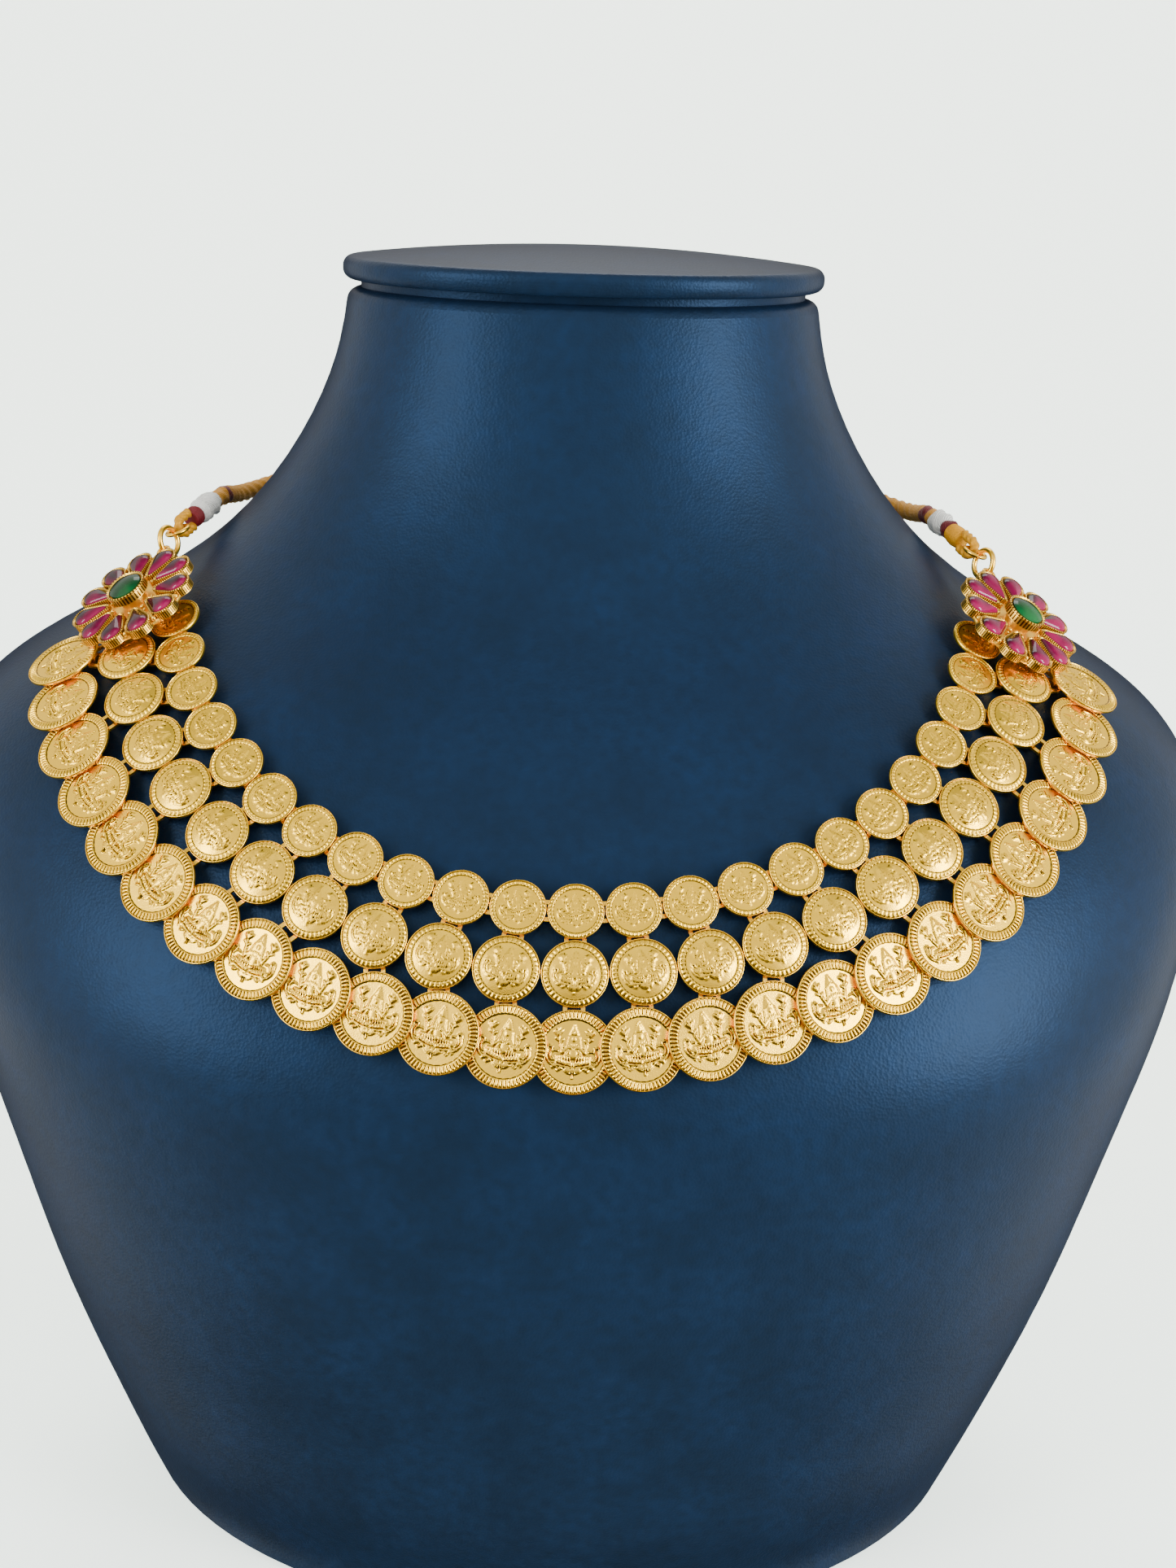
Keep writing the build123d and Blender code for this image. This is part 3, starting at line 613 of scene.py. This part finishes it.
def struck_figure(x, y):
    """Height of the seated figure's relief, from 0 on the field to 1, at each point of the face."""
    side_x = np.abs(x)
    height = np.zeros_like(x)
    veil_side = VEIL_HALF_WIDTH * (1 - np.clip((y - VEIL_FOOT) / VEIL_RISE, 0, 1) ** VEIL_TAPER)
    veil = np.sqrt(np.clip(1 - (side_x / np.maximum(veil_side, 1e-6)) ** 4, 0, 1))
    height = np.maximum(height, VEIL_LEVEL * veil * (y > VEIL_FOOT) * (y < VEIL_FOOT + VEIL_RISE))
    for from_x, from_y, to_x, to_y, width, level in STROKES:
        distance = from_segment(side_x, y, (from_x, from_y), (to_x, to_y))
        height = np.maximum(height, level * rounded(distance, width))
    for centre_x, centre_y, boss, level in BOSSES:
        height = np.maximum(height, level * rounded(np.hypot(side_x - centre_x, y - centre_y), boss))
    for centre_x, centre_y, bend_radius, start, end, width, level in SCROLLS:
        angle = np.degrees(np.arctan2(y - centre_y, side_x - centre_x))
        middle = (start + end) / 2
        off = (angle - middle + 180) % 360 - 180
        clipped = np.radians(middle + np.clip(off, (start - end) / 2, (end - start) / 2))
        distance = np.hypot(side_x - centre_x - bend_radius * np.cos(clipped),
                            y - centre_y - bend_radius * np.sin(clipped))
        height = np.maximum(height, level * rounded(distance, width))
    face_y, face_width, face_height = FACE
    height = np.maximum(height, rounded(np.hypot(x / face_width, (y - face_y) / face_height), 1))
    for fold in range(FOLD_COUNT):
        start, end = [(first + step * fold, level) for first, step, level in (FOLD_TOP, FOLD_HEM)]
        height = np.maximum(height, rounded(from_segment(side_x, y, start, end), FOLD_WIDTH))
    for petal in range(LOTUS_PETALS):
        lean = math.radians(-90 + (petal - (LOTUS_PETALS - 1) / 2) * LOTUS_FAN)
        start, end = [(reach_x * math.cos(lean), LOTUS_HEART + reach_y * math.sin(lean))
                      for reach_x, reach_y in (LOTUS_INNER, LOTUS_OUTER)]
        height = np.maximum(height, LOTUS_LEVEL * rounded(from_segment(x, y, start, end), LOTUS_WIDTH))
    return height


FIGURE_GAP = 0.025


def struck_face(x, y, flutes, flute_from, flute_to):
    """Height of the whole face's relief: the figure, and the border of flutes with an arch over every two."""
    out = np.hypot(x, y)
    pitch = 2 * math.pi / flutes
    angle = np.arctan2(y, x)
    off_flute = ((angle + pitch / 2) % pitch - pitch / 2) * out
    past_end = np.maximum(0, np.maximum(flute_from - out, out - flute_to))
    off = np.hypot(off_flute, FLUTE_BLUNT * past_end)
    height = FLUTE_LEVEL * rounded(off, FLUTE_WIDTH * pitch * flute_to)
    off_pair = np.abs((angle + pitch) % (2 * pitch) - pitch) * out
    arch = np.hypot(np.maximum(0, off_pair - 0.5 * pitch * out), out - flute_from)
    height = np.maximum(height, ARCH_LEVEL * rounded(arch, ARCH_WIDTH))
    return np.where(out < flute_from - FIGURE_GAP, np.maximum(height, struck_figure(x, y)), height)


OUTER_SHARE = 0.995


def select_outer_ring(disc):
    """Selects the open outer ring of a disc in edit mode, with its points moved out to one radius."""
    bpy.ops.object.mode_set(mode="OBJECT")
    reach = max(vertex.co.xy.length for vertex in disc.data.vertices)
    outer = {vertex.index for vertex in disc.data.vertices if vertex.co.xy.length > OUTER_SHARE * reach}
    for index in outer:
        place = disc.data.vertices[index].co
        place.xy *= reach / place.xy.length
    for part in (disc.data.vertices, disc.data.edges, disc.data.polygons):
        part.foreach_set("select", [False] * len(part))
    for line in disc.data.edges:
        line.select = outer.issuperset(line.vertices)
    bpy.ops.object.mode_set(mode="EDIT")


COIN_FIELD = 0.00074
RIM_TOP = 0.00088
RIM_WIDTH = 0.00026
COIN_EDGE = 0.0001
# the figure's disc and the flutes' first ring end this far inside the flutes, in coin radii
DISC_GAP = 0.035
FLUTE_LEAD = 0.02
# a point's hollow is how far the relief within this reach stands above it, and is set on the rim and its
# foot.
# The hollows are painted brown, as patina and painted shade, and the foot of the rim gets painted shade too.
HOLLOW_REACH = 0.022
FOOT_SHADE = 0.25
RIM_HOLLOW = -0.2
RIM_MARGIN = 0.001


def struck_blank(name, radius, dome, relief, flutes, flute_from, flute_to, flute_rings, inner_rings):
    """One coin blank struck with the figure, drawn ring by ring outwards. Its back is on the XY plane."""
    rim_in = 1 - RIM_WIDTH / radius
    inner = radius * (flute_from - DISC_GAP)
    flute_shares = np.linspace(flute_from - FLUTE_LEAD, rim_in, flute_rings)
    profile = [(radius * share, COIN_FIELD) for share in flute_shares]
    profile += [(radius * rim_in + COIN_EDGE, RIM_TOP), (radius - COIN_EDGE, RIM_TOP),
                (radius, RIM_TOP - COIN_EDGE), (radius, COIN_EDGE), (radius - COIN_EDGE, 0)]
    bpy.ops.object.select_all(action="DESELECT")
    bpy.ops.mesh.primitive_circle_add(vertices=2 * flutes, radius=inner, location=(0, 0, COIN_FIELD))
    blank = bpy.context.object
    blank.name = name
    bpy.ops.object.transform_apply()
    bpy.ops.object.mode_set(mode="EDIT")
    bpy.ops.mesh.select_mode(type="EDGE")
    bpy.ops.mesh.select_all(action="SELECT")
    for step in range(1, inner_rings):
        bpy.ops.mesh.extrude_edges_move()
        share = (inner_rings - step) / (inner_rings - step + 1)
        bpy.ops.transform.resize(value=(share, share, 1), center_override=(0, 0, COIN_FIELD))
    bpy.ops.mesh.edge_face_add()
    bpy.ops.mesh.poke()
    select_outer_ring(blank)
    bpy.ops.mesh.subdivide(number_cuts=1, ngon=True)
    select_outer_ring(blank)
    reached, level = inner, COIN_FIELD
    for ring_radius, ring_level in profile:
        bpy.ops.mesh.extrude_edges_move(TRANSFORM_OT_translate={"value": (0, 0, ring_level - level)})
        share = ring_radius / reached
        bpy.ops.transform.resize(value=(share, share, 1), center_override=(0, 0, ring_level))
        reached, level = ring_radius, ring_level
    bpy.ops.mesh.edge_face_add()
    face_outwards()

    points = np.empty(len(blank.data.vertices) * 3)
    blank.data.vertices.foreach_get("co", points)
    points = points.reshape(-1, 3)
    x, y = points[:, 0] / radius, points[:, 1] / radius
    out = np.hypot(x, y)
    on_face = (np.abs(points[:, 2] - COIN_FIELD) < 1e-6) & (out < rim_in - RIM_MARGIN)
    crown = 0
    if dome:
        ball = (dome ** 2 + (radius * rim_in) ** 2) / (2 * dome)
        crown = np.sqrt(np.clip(ball ** 2 - (out * radius) ** 2, 0, None)) - (ball - dome)
    struck = struck_face(x, y, flutes, flute_from, flute_to)
    bearings = np.linspace(0, 2 * math.pi, 8, endpoint=False)
    around = np.mean([struck_face(x + HOLLOW_REACH * math.cos(bearing), y + HOLLOW_REACH * math.sin(bearing),
                                  flutes, flute_from, flute_to) for bearing in bearings], axis=0)
    points[:, 2] += np.where(on_face, np.clip(crown, 0, None) + relief * struck, 0)
    blank.data.vertices.foreach_set("co", points.reshape(-1))
    # relief hollows and the rim's foot are painted darker, as patina and painted shade; the rim stays light
    # gilt
    beside = np.where(out < rim_in + RIM_MARGIN, FOOT_SHADE, RIM_HOLLOW)
    keep_on_points(blank, "hollow", np.where(on_face, np.clip(around - struck, -0.5, 1), beside))
    blank.data.update()
    bpy.ops.object.shade_smooth_by_angle(angle=math.radians(50))
    return blank


def loose_copies(name):
    """Copies of one node's solids as separate merged objects."""
    pick(new_object(f"{name}_copy", nodes[name].data.copy()))
    edit_all()
    bpy.ops.mesh.remove_doubles(threshold=1e-6)
    bpy.ops.mesh.separate(type="LOOSE")
    bpy.ops.object.mode_set(mode="OBJECT")
    return list(bpy.context.selected_objects)


CHEST_CENTRE = Vector((0, 0.015, 0.11))
STRAP_LEVEL = 0.0001


def back_of(coin):
    """A coin's middle on its back plane and the way it faces, from its widest flat face and its rim."""
    mesh = coin.data
    widest = max(mesh.polygons, key=lambda polygon: polygon.area)
    facing = widest.normal.copy()
    anchor = widest.center.copy()
    if facing.dot(anchor - CHEST_CENTRE) < 0:
        facing.negate()
    along = facing.orthogonal().normalized()
    across = facing.cross(along)
    points = np.array([vertex.co for vertex in mesh.vertices])
    level = (points - anchor) @ np.array(facing)
    body = points[level > STRAP_LEVEL]
    middle = anchor.copy()
    for axis in (along, across):
        extent = body @ np.array(axis)
        middle += axis * ((extent.max() + extent.min()) / 2 - anchor.dot(axis))
    return middle, facing


# a struck piece reaches this far behind the back plane, and the strap eyes are cut between the two
COIN_LAP = 0.00001
EYES_CUT = 0.000005
CUT_WITHIN = 1e-7


def keep_eyes(piece, back_at, facing):
    """Cuts away all of a CAD copy that stands before its back plane, so that its strap eyes stay."""
    pick(piece)
    edit_all()
    bpy.ops.mesh.bisect(plane_co=back_at - facing * EYES_CUT, plane_no=facing, clear_outer=True,
                        use_fill=True, threshold=CUT_WITHIN)
    bpy.ops.object.mode_set(mode="OBJECT")


def joined(pieces, name):
    """Joins pieces into the first of them, which gets the name."""
    pick(pieces[0])
    for piece in pieces:
        piece.select_set(True)
    bpy.ops.object.join()
    pieces[0].name = name
    return pieces[0]


SPIN_STEP = 7.3


def strike_row(coins, blank, turn_spread):
    """Puts a struck coin in place of each coin of a row, joined with the strap eyes of the coin's copy."""
    coins = sorted(coins, key=lambda coin: sum(corner[0] for corner in coin.bound_box))
    places = [back_of(coin) for coin in coins]
    struck_coins = []
    for index, (coin, (middle, facing)) in enumerate(zip(coins, places)):
        before = places[max(index - 1, 0)][0]
        after = places[min(index + 1, len(places) - 1)][0]
        along = after - before
        along = (along - facing * along.dot(facing)).normalized()
        spin_by = turn_spread * math.sin(SPIN_STEP * index + len(coins))
        spin = Matrix.Rotation(math.radians(spin_by), 4, "Z")
        stand = Matrix((along, facing.cross(along), facing)).transposed().to_4x4()
        stand.translation = middle - facing * COIN_LAP
        struck = new_object(f"{coin.name}_struck", blank.data.copy())
        struck.data.transform(stand @ spin)
        keep_eyes(coin, middle, facing)
        struck_coins.append(joined([struck, coin], struck.name))
    return struck_coins


struck_gilt = gilt_material("struck gilt brass", light="#FFCE38", deep="#3A1C02", roughness=0.28,
                            grain_size=0.00025, grain_strength=0.45)
# columns: name, radius, height of the dome, depth of the relief, number of flutes, where they start and end
# in coin radii, and rings of points through the flutes and inside them
BLANKS = [
    ("large_blank", 0.00800, 0, 0.00032, 60, 0.78, 0.945, 8, 42),
    ("middle_blank", 0.00645, 0.0010, 0.00022, 40, 0.80, 0.94, 6, 24),
    ("small_blank", 0.00545, 0, 0.00020, 40, 0.82, 0.94, 6, 22),
]
large_blank, middle_blank, small_blank = [struck_blank(*row) for row in BLANKS]

large_names = (["large_coin_centre"] + [f"large_coin_left_{number:02d}" for number in range(1, 13)]
               + [f"large_coin_right_{number:02d}" for number in range(1, 13)])
large_sources = []
for name in large_names:
    source = loose_copies(name)[0]
    source.name = name.replace("large_coin", "big_coin")
    large_sources.append(source)
for struck in strike_row(large_sources, large_blank, turn_spread=5):
    node_name = struck.name.replace("_struck", "").replace("big_coin", "large_coin")
    paint(struck, struck_gilt)
    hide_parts(node_name)
    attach(struck, "root")

for node_name, blank, spread in (("middle_coins", middle_blank, 9), ("small_coins", small_blank, 12)):
    row = joined(strike_row(loose_copies(node_name), blank, spread), f"{node_name}_struck")
    paint(row, struck_gilt)
    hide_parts(node_name)
    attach(row, "root")
for blank in (large_blank, middle_blank, small_blank):
    bpy.data.objects.remove(blank)


# Flower settings: eleven drop-shaped cups and a raised round one, each bent up from ribbed gilt strip with a
# milled bezel, soldered on a back plate with small granules between them and a lug for the ring.
FLOWER_BACK = Vector((0.0929, -0.0016, 0.2022))
FLOWER_FACING = Vector((0.450, -0.335, 0.830)).normalized()
RING_TOWARDS = Vector((-0.264, 0.838, 0.481))
PETALS = 11
ROUND_END = (0.0113, 0.0029)
POINT_END = (0.0066, 0.00105)
SHARPEST = 0.00002
# points along the round end, each straight side and the pointed end
OUTLINE_SHARES = (46, 18, 10)
CENTRE_CUP_RADIUS = 0.00435
CENTRE_CUP_POINTS = 72
PLATE = (0.0125, 0.0008)
STEM = (0.0032, 0.0026, 0.0030)
# columns: how far in from the cup's outer edge, height above the lip, and how far every second point of a
# ribbed or milled row stands in and the others out, in metres
CUP_ROWS = [
    (0.00012, -0.00220, 0.0), (0.00000, -0.00210, 0.0), (0.00005, -0.00190, 0.00005),
    (0.00005, -0.00055, 0.00005), (0.00010, -0.00042, 0.0), (-0.00002, -0.00032, 0.00004),
    (-0.00010, -0.00014, 0.00006), (-0.00003, 0.00004, 0.00006), (0.00012, 0.00012, 0.00005),
    (0.00024, 0.00007, 0.00004), (0.00032, -0.00006, 0.0), (0.00042, -0.00016, 0.0),
    (0.00050, -0.00030, 0.0), (0.00052, -0.00125, 0.0),
]
# how dark the inward points of the ribs are painted, as patina and painted shade
RIB_SHADE = 0.28


def drop_outline(inset):
    """The drop shape's points, drawn smaller by an inset, with its point towards the flower's middle."""
    (round_at, round_radius), (point_at, point_radius) = ROUND_END, POINT_END
    lean = math.asin((round_radius - point_radius) / (round_at - point_at))
    past = max(0, inset - point_radius + SHARPEST)
    small = max(point_radius - inset, SHARPEST)
    small_at = point_at + past / math.sin(lean)
    large = round_radius - inset
    wide, straight, narrow = OUTLINE_SHARES
    bearings = np.linspace(-math.pi / 2 - lean, math.pi / 2 + lean, wide + 1)
    outline = [(round_at + large * math.cos(bearing), large * math.sin(bearing)) for bearing in bearings]
    bearings = np.linspace(math.pi / 2 + lean, 1.5 * math.pi - lean, narrow + 1)
    point = [(small_at + small * math.cos(bearing), small * math.sin(bearing)) for bearing in bearings]
    across = [tuple(np.array(outline[-1]) * (1 - share) + np.array(point[0]) * share)
              for share in np.linspace(0, 1, straight + 1)[1:-1]]
    back = [(x, -y) for x, y in across[::-1]]
    return np.array(outline + across + point + back)


def round_outline(inset):
    """The round cup's points, drawn smaller by an inset."""
    bearings = np.linspace(0, 2 * math.pi, CENTRE_CUP_POINTS, endpoint=False)
    return (CENTRE_CUP_RADIUS - inset) * np.stack([np.cos(bearings), np.sin(bearings)], axis=1)


def drawn_up(name, outline, rows, lip):
    """A closed shell of rows of one outline: a circle extruded row by row, then moved to the rows."""
    count = len(outline(0))
    bpy.ops.object.select_all(action="DESELECT")
    bpy.ops.mesh.primitive_circle_add(vertices=count, radius=1, fill_type="NGON")
    shell = bpy.context.object
    shell.name = name
    edit_all()
    for _ in rows[1:]:
        bpy.ops.mesh.extrude_region_move(TRANSFORM_OT_translate={"value": (0, 0, 1)})
    bpy.ops.object.mode_set(mode="OBJECT")
    places = np.array([vertex.co for vertex in shell.data.vertices])
    row_index = np.rint(places[:, 2]).astype(int)
    point_index = np.rint(np.arctan2(places[:, 1], places[:, 0]) * count / (2 * math.pi)).astype(int) % count
    in_rib = point_index % 2
    hollow = np.zeros(len(places))
    for index, (inset, height, rib) in enumerate(rows):
        here = row_index == index
        edge = outline(inset)[point_index[here]]
        if rib:
            edge_in = outline(inset + rib)[point_index[here]]
            edge = np.where(in_rib[here, None] == 1, edge_in, outline(inset - rib)[point_index[here]])
            # the inward points of each rib are painted darker, as patina and painted shade between the ribs
            hollow[here] = RIB_SHADE * in_rib[here]
        places[here] = np.column_stack([edge, np.full(here.sum(), lip + height)])
    shell.data.vertices.foreach_set("co", places.reshape(-1))
    keep_on_points(shell, "hollow", hollow)
    face_outwards()
    shell.data.update()
    bpy.ops.object.shade_smooth_by_angle(angle=math.radians(40))
    return shell


def round_the_flower(piece, turn_on):
    """Eleven copies of a piece round the flower's middle, the first turned by a share of the pitch."""
    copies = []
    for petal in range(PETALS):
        copy = new_object(f"{piece.name}_{petal}", piece.data.copy())
        copy.data.transform(Matrix.Rotation(2 * math.pi * (petal + turn_on) / PETALS, 4, "Z"))
        copies.append(copy)
    bpy.data.objects.remove(piece)
    return copies


def bevelled(width, segments):
    """The primitive just added, with its place applied and all its edges bevelled."""
    bpy.ops.object.transform_apply()
    edit_all()
    bpy.ops.mesh.bevel(offset=width, segments=segments)
    bpy.ops.object.mode_set(mode="OBJECT")
    return bpy.context.object


CUP_LIP = 0.00226
CENTRE_LIP = 0.00492
CENTRE_FOOT = 0.0004
cups = round_the_flower(drawn_up("petal_cup", drop_outline, CUP_ROWS, CUP_LIP), turn_on=0.5)
foot_row = (CUP_ROWS[0][0] + CENTRE_FOOT, *CUP_ROWS[0][1:])
centre_cup = drawn_up("centre_cup", round_outline, [foot_row] + CUP_ROWS[1:], CENTRE_LIP)

bpy.ops.object.select_all(action="DESELECT")
bpy.ops.mesh.primitive_cylinder_add(vertices=88, radius=PLATE[0], depth=PLATE[1],
                                    location=(0, 0, PLATE[1] / 2))
back_plate = bevelled(width=0.0002, segments=2)
bpy.ops.mesh.primitive_cone_add(vertices=48, radius1=STEM[0], radius2=STEM[1], depth=STEM[2],
                                location=(0, 0, STEM[2] / 2))
stem = bpy.context.object
bpy.ops.object.transform_apply()
for smooth_piece in (back_plate, stem):
    pick(smooth_piece)
    bpy.ops.object.shade_smooth_by_angle(angle=math.radians(40))

# columns: granule radius, distance from the flower's middle, height of its middle
GRANULES = [(0.00060, 0.0120, 0.00120), (0.00055, 0.0052, 0.00125), (0.00042, 0.0066, 0.00115)]
granules = []
for granule_radius, granule_at, granule_height in GRANULES:
    bpy.ops.object.select_all(action="DESELECT")
    bpy.ops.mesh.primitive_uv_sphere_add(segments=14, ring_count=9, radius=granule_radius,
                                         location=(granule_at, 0, granule_height))
    bpy.ops.object.transform_apply()
    bpy.ops.object.shade_smooth()
    granules += round_the_flower(bpy.context.object, turn_on=0)

LUG_AT = 0.0156
LUG_WIRE = 0.00037
LUG_RADIUS = 0.00132
LUG_HEIGHT = 0.0005
LUG_TAB_AT = 0.01325
LUG_TAB_SIZE = (0.0024, 0.0013, 0.0008)
bpy.ops.object.select_all(action="DESELECT")
bpy.ops.mesh.primitive_torus_add(major_segments=36, minor_segments=12, major_radius=LUG_RADIUS,
                                 minor_radius=LUG_WIRE, location=(LUG_AT, 0, LUG_HEIGHT))
lug = bpy.context.object
bpy.ops.object.transform_apply()
bpy.ops.object.shade_smooth()
bpy.ops.object.select_all(action="DESELECT")
bpy.ops.mesh.primitive_cube_add(size=1, location=(LUG_TAB_AT, 0, LUG_HEIGHT), scale=LUG_TAB_SIZE)
lug_tab = bevelled(width=0.00025, segments=3)
flower_blank = joined([centre_cup, back_plate, stem, lug, lug_tab] + cups + granules, "flower_blank")

strip_gilt = gilt_material("ribbed gilt brass strip", light="#FFCE52", deep="#4A2405", roughness=0.34,
                           grain_size=0.0003, grain_strength=0.3)
across_x = (RING_TOWARDS - FLOWER_FACING * RING_TOWARDS.dot(FLOWER_FACING)).normalized()
flower_stand = Matrix((across_x, FLOWER_FACING.cross(across_x), FLOWER_FACING)).transposed().to_4x4()
flower_stand.translation = FLOWER_BACK
MIRROR = Matrix.Scale(-1, 4, (1, 0, 0))


def in_place(blank, name, side):
    """A copy of a flower's piece moved from the flower's own frame to its place on one side."""
    copy = new_object(f"{side}_{name}", blank.data.copy())
    copy.data.transform(flower_stand)
    if side == "left":
        copy.data.transform(MIRROR)
        copy.data.flip_normals()
    return copy


for side in ("left", "right"):
    eyes = joined(loose_copies(f"{side}_flower_setting"), f"{side}_flower_eyes")
    back_at, facing = FLOWER_BACK, FLOWER_FACING
    if side == "left":
        back_at, facing = MIRROR @ back_at, MIRROR @ facing
    keep_eyes(eyes, back_at, facing)
    setting = joined([in_place(flower_blank, "cups", side), eyes], f"{side}_flower_cups")
    paint(setting, strip_gilt)
    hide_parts(f"{side}_flower_setting")
    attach(setting, "root")
bpy.data.objects.remove(flower_blank)


# Stones: eleven pear-shaped cabochons and one round one in each flower, of ruby and emerald green glass over
# foil, ground to a low dome and fire polished. They are painted light on the side towards the front, as
# painted glow, and deep behind.
STONE_EDGE = 0.00051
PAINTED_GLOW_SIDE = (0.4, -0.9, -0.1)
STONE_SPAN = 0.00228
STONE_SHOULDER = 0.00190
STONE_RISE = 0.00130
STONE_STEPS = (0.06, 0.16, 0.30, 0.46, 0.63, 0.80, 0.94)
STONE_FOOT = (0.0001, -0.0011)
PAINTED_GLOW_RANGE = (0.4, 1.45)
SWIRL_SIZE = 0.003846


def cabochon_material(name, light, deep):
    """Polished glass over foil, a little uneven: painted light on one side as a glow, and deep on the other.
    """
    material, shader = new_material(name)
    set_inputs(shader, {"Roughness": 0.12, "IOR": 1.45, "Specular IOR Level": 0.4,
                        "Transmission Weight": 0.12})
    place = add_node(material, "TexCoord")
    swirl = add_node(material, "TexNoise", {},
                     {"Vector": place.outputs["Object"], "Scale": 1 / SWIRL_SIZE})
    surface = add_node(material, "NewGeometry")
    # painted light: the stone is painted lighter on the side that faces towards the front, and deep behind
    painted_glow = add_node(material, "VectorMath", {"operation": "DOT_PRODUCT"},
                    {0: surface.outputs["Normal"], 1: PAINTED_GLOW_SIDE})
    lit = add_node(material, "Math", {"operation": "ADD"},
                   {0: swirl, 1: painted_glow})
    contrast = add_node(material, "MapRange", {"interpolation_type": "SMOOTHSTEP"},
                        {"Value": lit, "From Min": PAINTED_GLOW_RANGE[0], "From Max": PAINTED_GLOW_RANGE[1]})
    add_node(material, "Mix", {"data_type": "RGBA"},
             {"Factor": contrast, 6: linear(deep), 7: linear(light)},
             shader.inputs["Base Color"])
    return material


ruby_glass = cabochon_material("ruby foiled glass", "#920149", "#1A010E")
green_glass = cabochon_material("green foiled glass", "#03602C", "#01200D")
stone_rows = [(STONE_EDGE + STONE_FOOT[0], STONE_FOOT[1], 0.0), (STONE_EDGE, 0.0, 0.0)]
stone_rows += [(STONE_EDGE + STONE_SPAN * step, STONE_RISE * math.sqrt(1 - (1 - step) ** 2), 0.0)
               for step in STONE_STEPS]
stone = drawn_up("ruby_stone", drop_outline, stone_rows, STONE_SHOULDER)
bpy.ops.object.shade_smooth()
stones = joined(round_the_flower(stone, turn_on=0.5), "ruby_stones")
for side in ("left", "right"):
    rubies = in_place(stones, "ruby_stones", side)
    paint(rubies, ruby_glass)
    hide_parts(f"{side}_ruby_petals")
    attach(rubies, "root")
    paint(nodes[f"{side}_green_stone"], green_glass)
bpy.data.objects.remove(stones)
